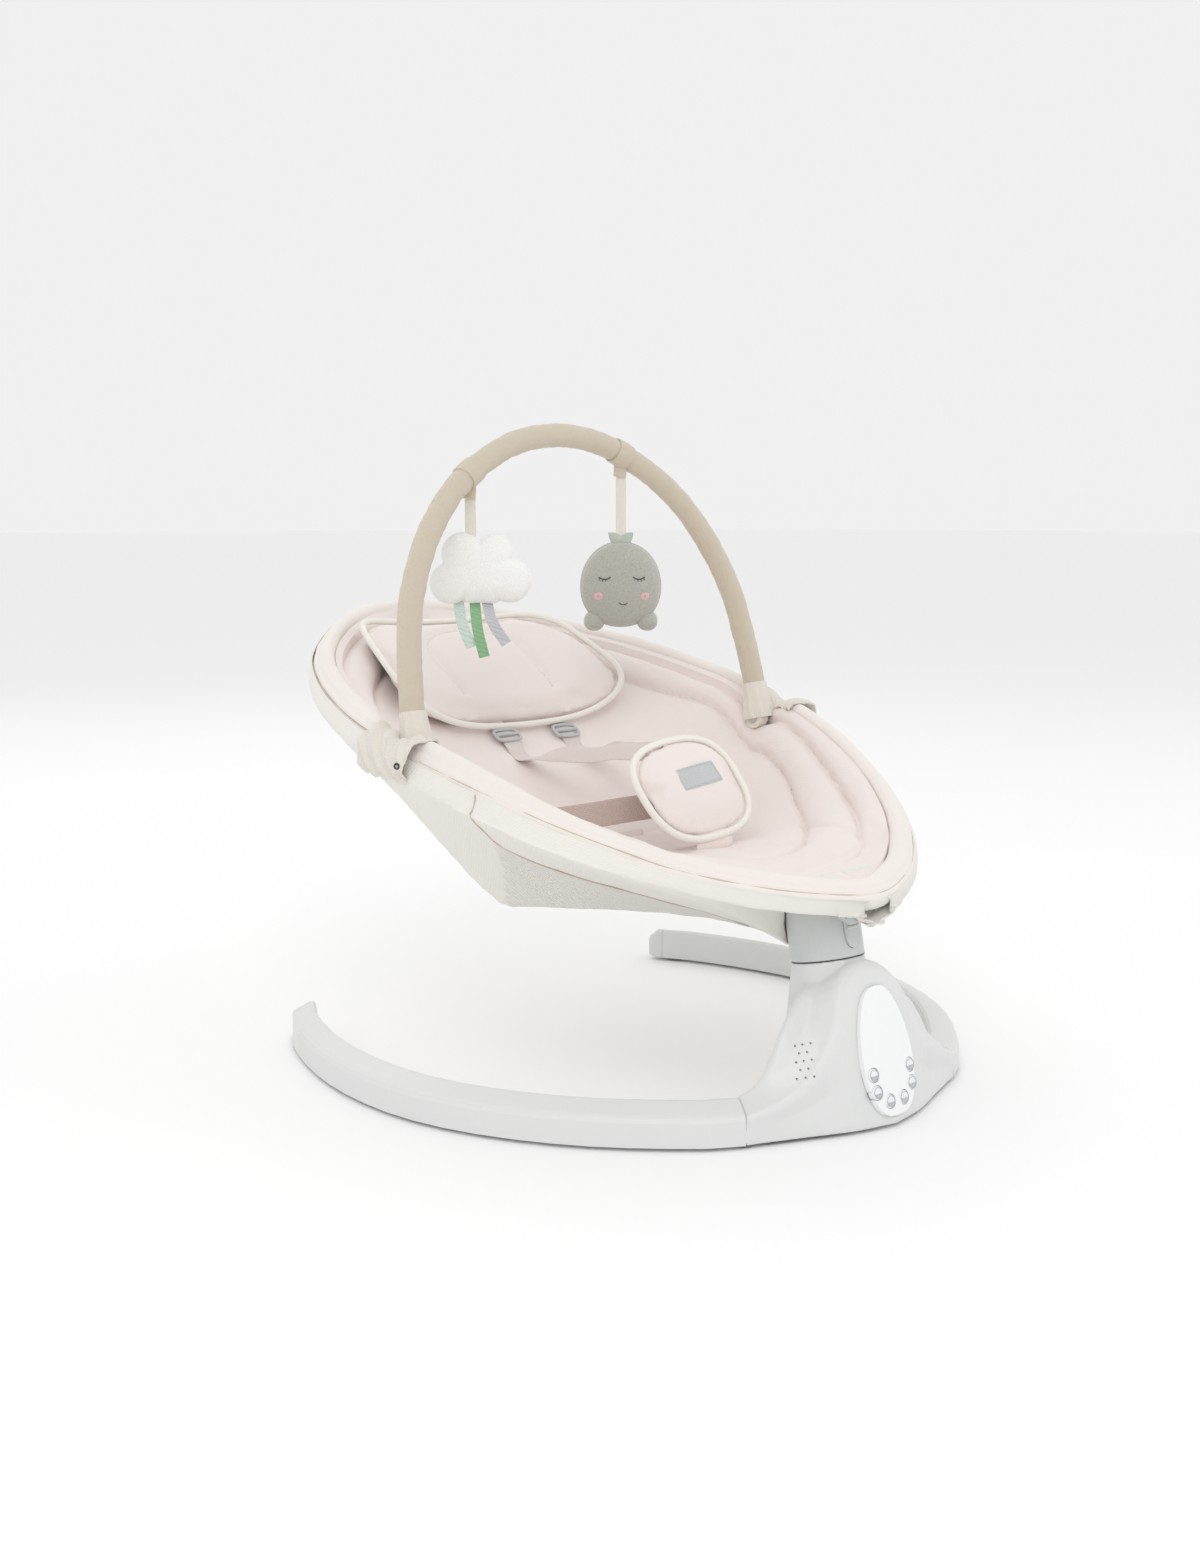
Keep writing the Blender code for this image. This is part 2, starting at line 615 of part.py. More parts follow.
def make_collar():
    """The swing head that turns on the post, with a pocket for its release button."""
    profile = [(0.0006, POST_RADIUS - 0.0006), (0.0014, POST_RADIUS), (0.030, POST_RADIUS + 0.0002),
               (COLLAR_HEIGHT - 0.001, POST_RADIUS - 0.0004), (COLLAR_HEIGHT, POST_RADIUS - 0.0014)]
    collar = turned("swing_collar", PIVOT, AXIS, profile, 40, COLLAR_GREY, origin=PIVOT)
    bore = turned("shaft_bore", PIVOT, AXIS, [(-0.002, SHAFT_RADIUS + GAP), (0.0223, SHAFT_RADIUS + GAP)], 48)
    boolean(collar, bore, "DIFFERENCE")
    boolean(collar, make_button_body("button_pocket", None, 0.0005), "DIFFERENCE")


def make_button_body(name, look, grow):
    """A tall rounded key that follows the collar's front and is pinched across its middle."""
    front = Vector((0, -math.cos(AXIS_TILT), math.sin(AXIS_TILT)))
    centre = PIVOT + AXIS * 0.0255
    half_width = 0.0085 + grow
    half_height = 0.0175 + grow
    rings = []
    steps = [(0.0210 - grow * 2, 1.0), (POST_RADIUS + 0.0004, 1.0), (POST_RADIUS + 0.0019, 0.90),
             (POST_RADIUS + 0.0023, 0.60)]
    if look is None:
        steps = [(0.0150, 1.0), (POST_RADIUS + 0.004, 1.0)]
    for reach, scale in steps:
        ring = []
        for k in range(28):
            angle = 2 * math.pi * k / 28
            across = half_width * scale * math.copysign(abs(math.sin(angle)) ** 0.7, math.sin(angle))
            tall = half_height * (1 - (1 - scale) * 0.4)
            along = tall * math.copysign(abs(math.cos(angle)) ** 0.7, math.cos(angle))
            sag = across * across / (2 * POST_RADIUS) if look is not None and reach > 0.03 else 0.0
            ring.append(centre + Vector((across, 0, 0)) + AXIS * along + front * (reach - sag))
        rings.append(ring)
    return loft(name, rings, look, PIVOT if look is not None else Vector())


# Seat frame ----------------------------------------------------------------------------------------

def rim_z(y):
    """Height of the rim's centre line."""
    return RIM_HEIGHT + RIM_SLOPE * y


def rim_path(count, inset):
    """The closed rim line, a given distance inside the seat's outline, starting at the foot."""
    half = spline([(x, y, 0.0) for x, y in RIM_OUTLINE], 8, True, True)
    loop = even(half, count // 2 + 1)
    loop = loop + [mirrored(p) for p in reversed(loop[1:-1])]
    result = []
    for i, point in enumerate(loop):
        along = (loop[(i + 1) % len(loop)] - loop[i - 1]).normalized()
        moved = point + Vector((-along.y, along.x, 0)) * inset
        result.append(Vector((moved.x, moved.y, rim_z(moved.y))))
    return result


def make_rim():
    """The bent steel tube around the seat and the padded sleeve over it, slit along its underside."""
    path = rim_path(40, PAD_RADIUS)
    loft("rim_tube", tube_rings(path, RIM_TUBE_RADIUS, 8, closed=True), STEEL, origin=PIVOT, closed=True)
    rings = []
    for i, point in enumerate(path):
        along = (path[(i + 1) % len(path)] - path[i - 1]).normalized()
        side = along.cross(Vector((0, 0, 1))).normalized()
        up = side.cross(along).normalized()
        ring = []
        for radius, order, steps in ((PAD_RADIUS, 1, 11), (PAD_BORE + 0.0010, -1, 7)):
            arc = []
            for k in range(steps + 1):
                angle = PAD_SLIT + (2 * math.pi - 2 * PAD_SLIT) * k / steps
                arc.append(point + radius * (-math.cos(angle) * up + math.sin(angle) * side))
            ring += arc[::order]
        rings.append(ring)
    pad = loft("rim_pad", rings, CREAM_KNIT, origin=PIVOT, closed=True)
    boolean(pad, make_bolt_holes("pad_bolt_holes"), "DIFFERENCE")


def make_bolt_holes(name):
    """The two holes that the toy bar's bolts pass through."""
    holes = bmesh.new()
    for sign in (-1, 1):
        start = Vector((sign * 0.2150, BAR_PIVOT.y, BAR_PIVOT.z))
        heading = Vector((sign, 0, 0))
        ends = (start, start + heading * 0.016)
        add_rings(holes, [circle(end, heading, 0.0038, 12) for end in ends])
    return mesh_object(name, holes)


def make_seat_bracket():
    """The arm between the collar and the seat's tubes: a saddle plate with a lug under the rim."""
    base = PIVOT + AXIS * (COLLAR_HEIGHT + GAP)
    profile = [(0.0, 0.0285), (0.0060, 0.0285), (0.0080, 0.0265)]
    bracket = turned("seat_bracket", base, AXIS, profile, 32, COLLAR_GREY, origin=PIVOT)
    path = rim_path(40, PAD_RADIUS)
    foot = path[0].lerp(path[1], 0.0155 / path[1].x)
    low = foot.z - RIM_TUBE_RADIUS - GAP
    side_view = [(0.0270, -0.0040), (0.0195, -0.0025), (0.0195, -0.0085), (0.0130, -0.0190), (-0.0016, -0.0225),
                 (-0.0016, low - foot.z), (0.0016, low - foot.z), (0.0016, -0.0185), (0.0112, -0.0140),
                 (0.0166, -0.0075), (0.0181, 0.0000), (0.0208, 0.0045), (0.0270, 0.0025)]
    for sign in (-1, 1):
        lug = bmesh.new()
        faces = []
        for x in (0.0115, 0.0195):
            faces.append([Vector((sign * x, foot.y + y, foot.z + z)) for y, z in side_view])
        add_rings(lug, faces)
        boolean(bracket, mesh_object("lug_left" if sign < 0 else "lug_right", lug), "UNION")
    tail = [(-0.2620, 0.1772), (-0.2352, 0.1718), (-0.2352, 0.1550), (-0.2138, 0.1530), (-0.2138, 0.1640),
            (-0.2280, 0.1690), (-0.2335, 0.1770), (-0.2580, 0.1835)]
    arm = bmesh.new()
    add_rings(arm, [[Vector((x, y, z)) for y, z in tail] for x in (-0.016, 0.016)])
    boolean(bracket, mesh_object("bracket_tail", arm), "UNION")


def make_hip_tube():
    """The steel loop that spreads the bottom of the sling between the bracket and the two hip corners."""
    lift = HIP_TUBE_RADIUS + SLING_THICK + 0.0036
    half = [(0.0, -0.2080), (0.020, -0.2040), (0.031, -0.185), (bottom_half(-0.130) - 0.033, -0.130),
            (bottom_half(-0.070) - 0.033, -0.070), (HIP.x - 0.035, HIP.y - 0.026), (HIP.x - 0.050, HIP.y - 0.012),
            (0.050, HIP.y - 0.012), (0.0, HIP.y - 0.012)]
    half = [(x, y, bottom_z(y) + lift) for x, y in half]
    line = even(spline(half, 6, True, True), 20)
    loop = line + [mirrored(p) for p in reversed(line[1:-1])]
    loft("hip_tube", tube_rings(loop, HIP_TUBE_RADIUS, 8, closed=True), STEEL, origin=PIVOT, closed=True)


# Seat fabric ---------------------------------------------------------------------------------------

def half_width(y):
    """Half the seat's width inside the rim pad at a place along it."""
    line = [p for p in rim_path(88, 2 * PAD_RADIUS + 0.0006) if p.x >= -1e-6]
    line.sort(key=lambda p: p.y)
    for a, b in zip(line, line[1:]):
        if a.y <= y <= b.y:
            return a.x + (b.x - a.x) * (y - a.y) / max(b.y - a.y, 1e-9)
    return 0.0


def bottom_z(y):
    """Height of the sling's underside along the middle of the seat."""
    if y > HIP.y:
        return min(HIP.z + BACK_SLOPE * (y - HIP.y), rim_z(y) - 0.012)
    return lookup([(-0.300, 0.176), (-0.275, 0.160), (-0.240, 0.149), (-0.150, 0.150), (HIP.y, HIP.z)], y)


def bottom_half(y):
    """Half the width of the sling's flat bottom."""
    knots = [(-0.300, 0.020), (-0.240, 0.030), (-0.150, 0.066), (HIP.y, HIP.x), (0.12, 0.160), (0.24, 0.130),
             (0.34, 0.040)]
    return lookup(knots, y)


def sling_section(y, offset, drop):
    """Half of a cross-section from the rim to the middle, moved inward by an offset."""
    wide = half_width(y)
    top = rim_z(y) - 0.004 - drop
    low = bottom_z(y)
    if drop > 0.0:
        shallow = min(1.0, (top - low + drop) / 0.065) if y > 0 else 1.0
        top += drop * (1 - shallow)
        offset *= shallow
        raised = [(-0.290, 0.005), (-0.262, 0.014), (-0.225, 0.015), (-0.190, 0.007), (-0.150, 0.0), (0.0, 0.0)]
        low += lookup(raised, y)
    flat = min(bottom_half(y), wide * 0.88)
    rise = min(0.010, (top - low) * 0.35)
    knots = [(wide, top), (wide + (flat - wide) * 0.42 + 0.002, top + (low + rise - top) * 0.50),
             (flat + 0.004, low + rise), (flat - 0.012, low + rise * 0.10), (flat * 0.5, low), (0.0, low)]
    line = even(spline([(x, z, 0.0) for x, z in knots], 6), 8)
    moved = []
    for i, point in enumerate(line):
        along = (line[min(i + 1, 7)] - line[max(i - 1, 0)]).normalized()
        normal = Vector((along.y, -along.x, 0.0))
        if i == 7:
            normal = Vector((0, 1, 0))
        shifted = point + normal * offset
        moved.append((max(shifted.x, 0.0), shifted.y))
    moved[-1] = (0.0, low + offset)
    return moved


def trough(name, look, first, last, near, far, drop=0.0):
    """A fabric shell between two offsets from the seat's outer surface."""
    stations = [first + (last - first) * i / 20 for i in range(21)]
    stations = sorted(stations + [HIP.y])
    rings = []
    for y in stations:
        outer = sling_section(y, near, drop)
        inner = sling_section(y, far, drop)
        loop = [(x, z) for x, z in outer] + [(-x, z) for x, z in reversed(outer[:-1])]
        loop += [(-x, z) for x, z in inner] + [(x, z) for x, z in reversed(inner[:-1])]
        rings.append([Vector((x, y, z)) for x, z in loop])
    return loft(name, rings, look, origin=PIVOT, triangles=True)


def make_seat_fabric():
    """The outer sling and the padded liner in it."""
    sling = trough("sling", CREAM_KNIT, -0.2620, 0.3190, 0.0, SLING_THICK)
    way = [(0.005, POST_RADIUS + 0.0022), (0.068, POST_RADIUS + 0.0022)]
    boolean(sling, turned("collar_opening", PIVOT, AXIS, way, 32), "DIFFERENCE")
    far = LINER_OFFSET + LINER_THICK
    trough("seat_liner", BLUSH_JERSEY, -0.2850, 0.2580, LINER_OFFSET, far, LINER_EDGE_DROP)


def back_point(x, y, lift):
    """A point above the reclined back of the liner."""
    z = bottom_z(y) + LINER_OFFSET + LINER_THICK + lift
    return Vector((x, y, z))


def cushion(name, outline, centre, up, out, thick, look):
    """A flat closed pad with a crowned face, from an outline of (across, along) points."""
    steps = [(0.94, 0.0), (1.0, thick * 0.30), (1.0, thick * 0.55), (0.90, thick * 0.85), (0.55, thick),
             (0.2, thick * 1.035)]
    across = up.cross(out).normalized()
    rings = []
    for scale, lift in steps:
        rings.append([centre + across * (u * scale) + up * (v * scale) + out * lift for u, v in outline])
    return loft(name, rings, look, origin=PIVOT)


def rounded(half_low, half_high, height, power, count=28):
    """A rounded trapezoid outline, narrow or wide at either end."""
    outline = []
    for k in range(count):
        angle = 2 * math.pi * k / count
        v = math.copysign(abs(math.cos(angle)) ** power, math.cos(angle))
        u = math.copysign(abs(math.sin(angle)) ** power, math.sin(angle))
        half = half_low + (half_high - half_low) * (v + 1) / 2
        outline.append((u * half, v * height / 2))
    return outline


def make_soft_parts():
    """Head pillow, crotch pad and harness."""
    slope = Vector((0, 1, BACK_SLOPE)).normalized()
    square = Vector((0, -BACK_SLOPE, 1)).normalized()
    pillow = back_point(0.0, 0.203, 0.004)
    cushion("head_pillow", rounded(0.138, 0.104, 0.165, 0.62), pillow, slope, square, 0.020, BLUSH_JERSEY)
    pad = Vector((0.0, -0.1150, 0.2540)) - PAD_OUT * 0.010
    cushion("crotch_pad", rounded(0.0560, 0.0600, 0.094, 0.74), pad, PAD_UP, PAD_OUT, 0.012, BLUSH_JERSEY)
    low = pad - PAD_UP * 0.030 - PAD_OUT * 0.0030
    fold = [low, low - PAD_UP * 0.018, low - PAD_UP * 0.024 - PAD_OUT * 0.008,
            low - PAD_UP * 0.020 - PAD_OUT * 0.020]
    strap("crotch_strap", fold, 0.021, 0.0030, BLUSH_JERSEY)


def strap(name, knots, half, thick, look, steps=4, width_axis=Vector((1, 0, 0))):
    """A flat strap along a curve."""
    line = spline(knots, steps)
    rings = []
    for i, point in enumerate(line):
        along = (line[min(i + 1, len(line) - 1)] - line[max(i - 1, 0)]).normalized()
        across = (width_axis - along * width_axis.dot(along)).normalized()
        normal = along.cross(across).normalized()
        ring = []
        for sx, sz in ((-1, -1), (1, -1), (1, 1), (-1, 1)):
            ring.append(point + across * (sx * half) + normal * (sz * thick / 2))
        rings.append(ring)
    return loft(name, rings, look, origin=PIVOT)


def make_harness():
    """Two shoulder straps with sliders, a waist belt and the buckle behind the crotch pad."""
    for side in ("left", "right"):
        sign = side_of(side)
        knots = [(sign * 0.037, 0.080, 0.2660), (sign * 0.036, 0.050, 0.2640), (sign * 0.030, 0.005, 0.2640),
                 (sign * 0.017, -0.048, 0.2620)]
        strap(f"shoulder_strap_{side}", knots, 0.0095, 0.0016, BLUSH_JERSEY)
        lie = Vector((0, 1, 0.05)).normalized()
        centre = Vector((sign * 0.0370, 0.0930, 0.2685))
        corners = ((-0.0145, -0.008), (0.0145, -0.008), (0.0145, 0.008), (-0.0145, 0.008))
        frame = []
        for z in (-0.0018, 0.0018):
            frame.append([centre + Vector((x, 0, z)) + lie * y for x, y in corners])
        loft(f"strap_slider_{side}", frame, SLIDER_GREY, origin=PIVOT)
    belt = [(-0.112, -0.028, 0.2150), (-0.080, -0.046, 0.2240), (-0.045, -0.060, 0.2290), (0.0, -0.0665, 0.2300),
            (0.045, -0.060, 0.2290), (0.080, -0.046, 0.2240), (0.112, -0.028, 0.2150)]
    strap("waist_belt", belt, 0.0115, 0.0018, MAUVE_WEB, width_axis=Vector((0, 0.6, 0.8)))
    buckle = Vector((0.0, -0.0900, 0.2600)) - PAD_OUT * 0.0210
    shape = rounded(0.018, 0.014, 0.030, 0.6, 20)
    cushion("harness_buckle", shape, buckle, PAD_UP, PAD_OUT, 0.008, BLACK_PLASTIC)


# Toy bar -------------------------------------------------------------------------------------------

def bar_point(x, z):
    """A point on the toy bar's leaning plane."""
    return Vector((x, BAR_PIVOT.y + BAR_LEAN * (z - BAR_PIVOT.z), z))


def bar_path(count):
    """The arch from the left end to the right end."""
    half = [bar_point(x, z) for x, z in BAR_ARCH]
    knots = [mirrored(p) for p in half] + [p for p in reversed(half[:-1])]
    return even(spline(knots, 5), count)


def make_toy_bar():
    """A stiff core in a fabric tube, carried by a hub at each end."""
    path = bar_path(35)
    loft("toy_bar_core", tube_rings(path, BAR_CORE_RADIUS, 8), STEEL, origin=BAR_PIVOT)
    outer = tube_rings(path, BAR_RADIUS, 12)
    inner = tube_rings(path, BAR_CORE_RADIUS + 0.0008, 12)
    pipe("toy_bar_cover", outer, inner, BEIGE_CANVAS, origin=BAR_PIVOT)
    for side in ("left", "right"):
        make_bar_joint(side, path[0] if side == "left" else path[-1])


def make_bar_joint(side, end):
    """One end of the bar: the turning hub, its bolt and the wrap that holds it to the rim."""
    sign = side_of(side)
    inboard = Vector((sign * 0.2030, BAR_PIVOT.y, BAR_PIVOT.z))
    outward = Vector((sign, 0, 0))
    name = f"bar_hub_{side}"
    hub = sleeve(name, inboard, outward, HUB_LENGTH, HUB_RADIUS, 0.0034, 28, BEIGE_CANVAS, origin=BAR_PIVOT)
    hub_top = end.z - GAP
    neck = bmesh.new()
    along = Vector((0, BAR_LEAN, 1)).normalized()
    start = Vector((end.x, BAR_PIVOT.y, BAR_PIVOT.z)) + along * 0.007
    length = (hub_top - start.z) / along.z
    add_rings(neck, [circle(start, along, 0.0050, 12), circle(start + along * length, along, 0.0050, 12)])
    boolean(hub, mesh_object(f"hub_neck_{side}", neck), "UNION")
    bolt = [(-0.0022, 0.0055), (-0.0004, 0.0060), (-0.0004, 0.0030), (0.0268, 0.0030)]
    turned(f"pivot_bolt_{side}", inboard, outward, bolt, 20, STEEL, origin=PIVOT)
    make_wrap(side)


def make_wrap(side):
    """A folded fabric tab clamped around the rim pad, open below."""
    sign = side_of(side)
    path = [p for p in rim_path(88, PAD_RADIUS) if p.x * sign > 0.1 and -0.016 <= p.y <= 0.040]
    path.sort(key=lambda p: p.y)
    rings = []
    up = Vector((0, -RIM_SLOPE, 1)).normalized()
    for i, point in enumerate(path):
        along = (path[min(i + 1, len(path) - 1)] - path[max(i - 1, 0)]).normalized()
        outside = (along.cross(up) if sign > 0 else up.cross(along)).normalized()
        ring = []
        for radius, order in ((PAD_RADIUS + 0.0030, 1), (PAD_RADIUS + 0.0014, -1)):
            arc = []
            for k in range(11):
                angle = math.radians(-62 + 212 * k / 10)
                arc.append(point + radius * (math.cos(angle) * up + math.sin(angle) * outside))
            ring += arc[::order]
        rings.append(ring)
    wrap = loft(f"bar_wrap_{side}", rings, BEIGE_CANVAS, origin=PIVOT)
    boolean(wrap, make_bolt_holes(f"wrap_bolt_holes_{side}"), "DIFFERENCE")


# Toys ----------------------------------------------------------------------------------------------

def bar_underside(x):
    """The bar's centre at a distance from the middle plane."""
    path = bar_path(121)
    return min(path, key=lambda p: abs(p.x - x))


def make_loop(name, x):
    """A fabric ring around the bar that a toy hangs from."""
    centre = bar_underside(x)
    path = bar_path(121)
    i = path.index(centre)
    along = (path[i + 1] - path[i - 1]).normalized()
    start = centre - along * 0.007
    sleeve(name, start, along, 0.014, BAR_RADIUS + 0.0026, BAR_RADIUS + 0.0008, 20, BEIGE_CANVAS, BAR_PIVOT)
    reach = (BAR_RADIUS + 0.0036) / abs(along.x) + 0.007 * abs(along.z) + 0.001
    return centre - Vector((0, 0, reach))


def ellipsoid_rings(centre, radii, turns, sides):
    """Upright rings over an ellipsoid, left open to a small cap at each pole."""
    rings = []
    for i in range(turns + 1):
        angle = math.radians(-82 + 164 * i / turns)
        ring = []
        for k in range(sides):
            around = 2 * math.pi * k / sides
            ring.append(centre + Vector((radii[0] * math.cos(angle) * math.cos(around),
                                         radii[1] * math.cos(angle) * math.sin(around), radii[2] * math.sin(angle))))
        rings.append(ring)
    return rings


def toy_place(hinge, rings):
    """Turn rings given around a toy's hanging line and set them under its hinge."""
    turn = Matrix.Rotation(TOY_TURN, 3, "Z")
    return [[hinge + turn @ point for point in ring] for ring in rings]


def ball(name, hinge, centre, radii, look=None, turns=8, sides=16):
    """A stuffed round body placed from a toy's hinge."""
    rings = ellipsoid_rings(Vector(centre), radii, turns, sides)
    return loft(name, toy_place(hinge, rings), look, hinge if look is not None else Vector())


def ribbon(name, hinge, knots, half, thick, look):
    """A flat ribbon that hangs in a toy's own plane."""
    rings = []
    for point in spline(knots, 2):
        corners = ((-1, -1), (1, -1), (1, 1), (-1, 1))
        ring = [point + Vector((sx * half, sy * thick / 2, 0)) for sx, sy in corners]
        rings.append(ring)
    return loft(name, toy_place(hinge, rings), look, hinge)


def make_cloud():
    """The cloud toy: its strap, its stuffed body and three ribbons."""
    hinge = make_loop("bar_loop_left", LOOP_PLACES["cloud"])
    drop = 0.034
    ribbon("cloud_strap", hinge, [(0, 0, -0.001), (0, 0, -drop)], 0.005, 0.002, WHITE_PLUSH)
    middle = -drop - 0.033
    shift = 0.008
    cloud = ball("cloud_toy", hinge, (shift - 0.003, 0, middle), (0.0300, 0.0140, 0.0330), WHITE_PLUSH)
    lobes = ((-0.0285, -0.010, 0.0175), (0.0265, -0.009, 0.0195), (-0.018, 0.010, 0.0195),
             (0.019, 0.010, 0.0175))
    for index, (dx, dz, size) in enumerate(lobes):
        centre = (shift + dx, 0.0003 * index, middle + dz)
        lobe = ball(f"cloud_lobe_{index}", hinge, centre, (size, 0.0125, size), None, 6, 14)
        boolean(cloud, lobe, "UNION")
    low = middle - 0.0340
    tails = (("ribbon_mint", -0.010, 0.042, RIBBON_MINT), ("ribbon_green", 0.003, 0.055, RIBBON_GREEN),
             ("ribbon_grey", 0.016, 0.042, RIBBON_GREY))
    for name, dx, length, look in tails:
        line = [(dx, 0, low), (dx + 0.002, -0.001, low - length / 2),
                (dx * 1.15 + 0.004, 0.001, low - length)]
        ribbon(name, hinge, line, 0.0046, 0.001, look)


def make_creature():
    """The round creature toy: its strap, its stuffed body with two feet, and two leaf ears."""
    hinge = make_loop("bar_loop_right", LOOP_PLACES["creature"])
    drop = 0.052
    ribbon("creature_strap", hinge, [(0, 0, -0.001), (0, 0, -drop)], 0.005, 0.002, WHITE_PLUSH)
    middle = -drop - 0.0545
    toy = ball("creature_toy", hinge, (0, 0, middle), (0.0400, 0.0190, 0.0400), GREY_PLUSH, 10, 20)
    for index, dx in enumerate((-0.026, 0.026)):
        centre = (dx, -0.003, middle - 0.0335)
        foot = ball(f"creature_foot_{index}", hinge, centre, (0.0100, 0.0100, 0.0085), None, 6, 12)
        boolean(toy, foot, "UNION")
    leaf = (0.0100, 0.0035, 0.0065)
    leaves = ball("creature_leaves", hinge, (-0.0088, 0, -drop - 0.0072), leaf, LEAF_GREEN, 6, 12)
    boolean(leaves, ball("leaf_form", hinge, (0.0088, 0, -drop - 0.0072), leaf, None, 6, 12), "UNION")


def build():
    """Model the whole swing."""
    clear_scene()
    make_housing()
    make_base_plate()
    for side in ("left", "right"):
        make_rail(f"rail_{side}")
        make_rail_cap(f"rail_cap_{side}")
    make_feet()
    make_panel()
    make_keys()
    make_drive()
    make_collar()
    make_button_body("release_button", COLLAR_GREY, 0.0)
    make_rim()
    make_seat_bracket()
    make_hip_tube()
    make_seat_fabric()
    make_soft_parts()
    make_harness()
    make_toy_bar()
    make_cloud()
    make_creature()


build()
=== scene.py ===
"""Looks for the electric baby swing: cloth, plush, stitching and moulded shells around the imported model."""

import json
import math

import bmesh
import bpy
from mathutils import Matrix, Vector, bvhtree, noise


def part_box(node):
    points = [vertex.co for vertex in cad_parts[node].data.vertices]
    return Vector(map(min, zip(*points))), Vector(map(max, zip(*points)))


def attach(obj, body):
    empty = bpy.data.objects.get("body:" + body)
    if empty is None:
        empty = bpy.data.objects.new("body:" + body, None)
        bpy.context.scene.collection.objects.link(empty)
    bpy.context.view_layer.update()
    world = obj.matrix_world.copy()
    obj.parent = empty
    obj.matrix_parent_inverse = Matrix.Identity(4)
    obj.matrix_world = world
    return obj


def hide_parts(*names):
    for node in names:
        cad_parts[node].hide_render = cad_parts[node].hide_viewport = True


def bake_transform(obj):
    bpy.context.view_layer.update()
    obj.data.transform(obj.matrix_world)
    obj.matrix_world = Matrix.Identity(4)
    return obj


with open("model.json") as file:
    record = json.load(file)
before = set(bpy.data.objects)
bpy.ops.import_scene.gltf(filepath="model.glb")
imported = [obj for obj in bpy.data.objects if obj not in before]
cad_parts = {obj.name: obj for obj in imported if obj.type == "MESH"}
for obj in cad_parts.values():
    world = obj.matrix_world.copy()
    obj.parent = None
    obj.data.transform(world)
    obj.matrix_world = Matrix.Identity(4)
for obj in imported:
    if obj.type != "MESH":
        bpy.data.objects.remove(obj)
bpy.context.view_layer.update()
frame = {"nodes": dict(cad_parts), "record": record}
NODES = frame["nodes"]

# The seat's driving sizes, in metres, in the model's own frame
RIM_SLOPE = 0.30
RIM_HEIGHT = 0.2821
RIM_OUTLINE = [
    (0.000, -0.3360), (0.060, -0.3175), (0.112, -0.284), (0.165, -0.234), (0.208, -0.170), (0.233, -0.107),
    (0.249, -0.037), (0.2555, 0.023), (0.250, 0.088), (0.232, 0.153), (0.199, 0.218), (0.150, 0.277),
    (0.095, 0.325), (0.045, 0.351), (0.000, 0.3572),
]
TUBE_INSET = 0.0165
LIP_INSET = 0.0295
LIP = [
    (-0.340, 0.0145), (-0.250, 0.0150), (-0.204, 0.0170), (-0.166, 0.0215), (-0.120, 0.0265), (-0.076, 0.0300),
    (-0.030, 0.0315), (0.050, 0.0300), (0.100, 0.0275), (0.180, 0.0260), (0.250, 0.0240), (0.360, 0.0200),
]
SEAM = [
    (-0.340, 0.0040), (-0.233, 0.0055), (-0.207, 0.0085), (-0.180, 0.0105), (-0.150, 0.0125), (-0.110, 0.0145),
    (-0.030, 0.0150), (0.100, 0.0140), (0.360, 0.0100),
]
HIP = Vector((0.151, -0.018, 0.1485))
BACK_SLOPE = 0.67
BACK_UP = Vector((0, 1, BACK_SLOPE)).normalized()
BACK_OUT = Vector((0, -BACK_SLOPE, 1)).normalized()
PAD_UP = Vector((0, 0.606, 0.795))
PAD_OUT = Vector((0, -0.795, 0.606))
BAR_PIVOT = Vector((0.0, 0.011, 0.2900))
BAR_LEAN = 0.222
BAR_RADIUS = 0.0113
BAR_ARCH = [
    (0.2120, 0.3070), (0.2125, 0.332), (0.2060, 0.385), (0.1985, 0.418), (0.1835, 0.453), (0.1620, 0.487),
    (0.1330, 0.518), (0.0980, 0.5420), (0.0520, 0.5625), (0.000, 0.5700),
]
POST_Y = -0.277
AXIS_TILT = math.radians(12.0)
AXIS = Vector((0.0, math.sin(AXIS_TILT), math.cos(AXIS_TILT)))
PIVOT = Vector((0.0, POST_Y, 0.127))
COLLAR_RADIUS = 0.031
TOY_TURN = math.radians(-38.0)
TOY_ROLL = Matrix.Rotation(TOY_TURN, 3, "Z")
TAPE_WIDTH = 0.0100
PILLOW_FORM = (0.154, 0.124, 0.174, 0.50)
PAD_CENTRE = Vector((0.0, -0.1150, 0.2540))
CLOTH_PRESSURE = 4.0
CLOTH_FRAMES = 20
SKIN_DEPTH = 0.0040
KEYS = ("key_power", "key_speed", "key_timer", "key_music", "key_nature", "key_volume")
SIDES = (("left", -1), ("right", 1))


# Geometry helpers ----------------------------------------------------------------------------------

def spline(knots, steps, start_on_middle=False, end_on_middle=False):
    """A smooth curve through the knots; an end on the middle plane runs square across it."""
    points = [Vector(knot) for knot in knots]
    before = mirrored(points[1]) if start_on_middle else points[0] * 2 - points[1]
    after = mirrored(points[-2]) if end_on_middle else points[-1] * 2 - points[-2]
    padded = [before, *points, after]
    curve = []
    for a, b, c, d in zip(padded, padded[1:], padded[2:], padded[3:]):
        for k in range(steps):
            t = k / steps
            curve.append(0.5 * (2 * b + (c - a) * t + (2 * a - 5 * b + 4 * c - d) * t * t
                                + (3 * b - a - 3 * c + d) * t ** 3))
    curve.append(points[-1])
    return curve


def mirrored(point):
    """The same point on the other side of the middle plane."""
    return Vector((-point.x, point.y, point.z))


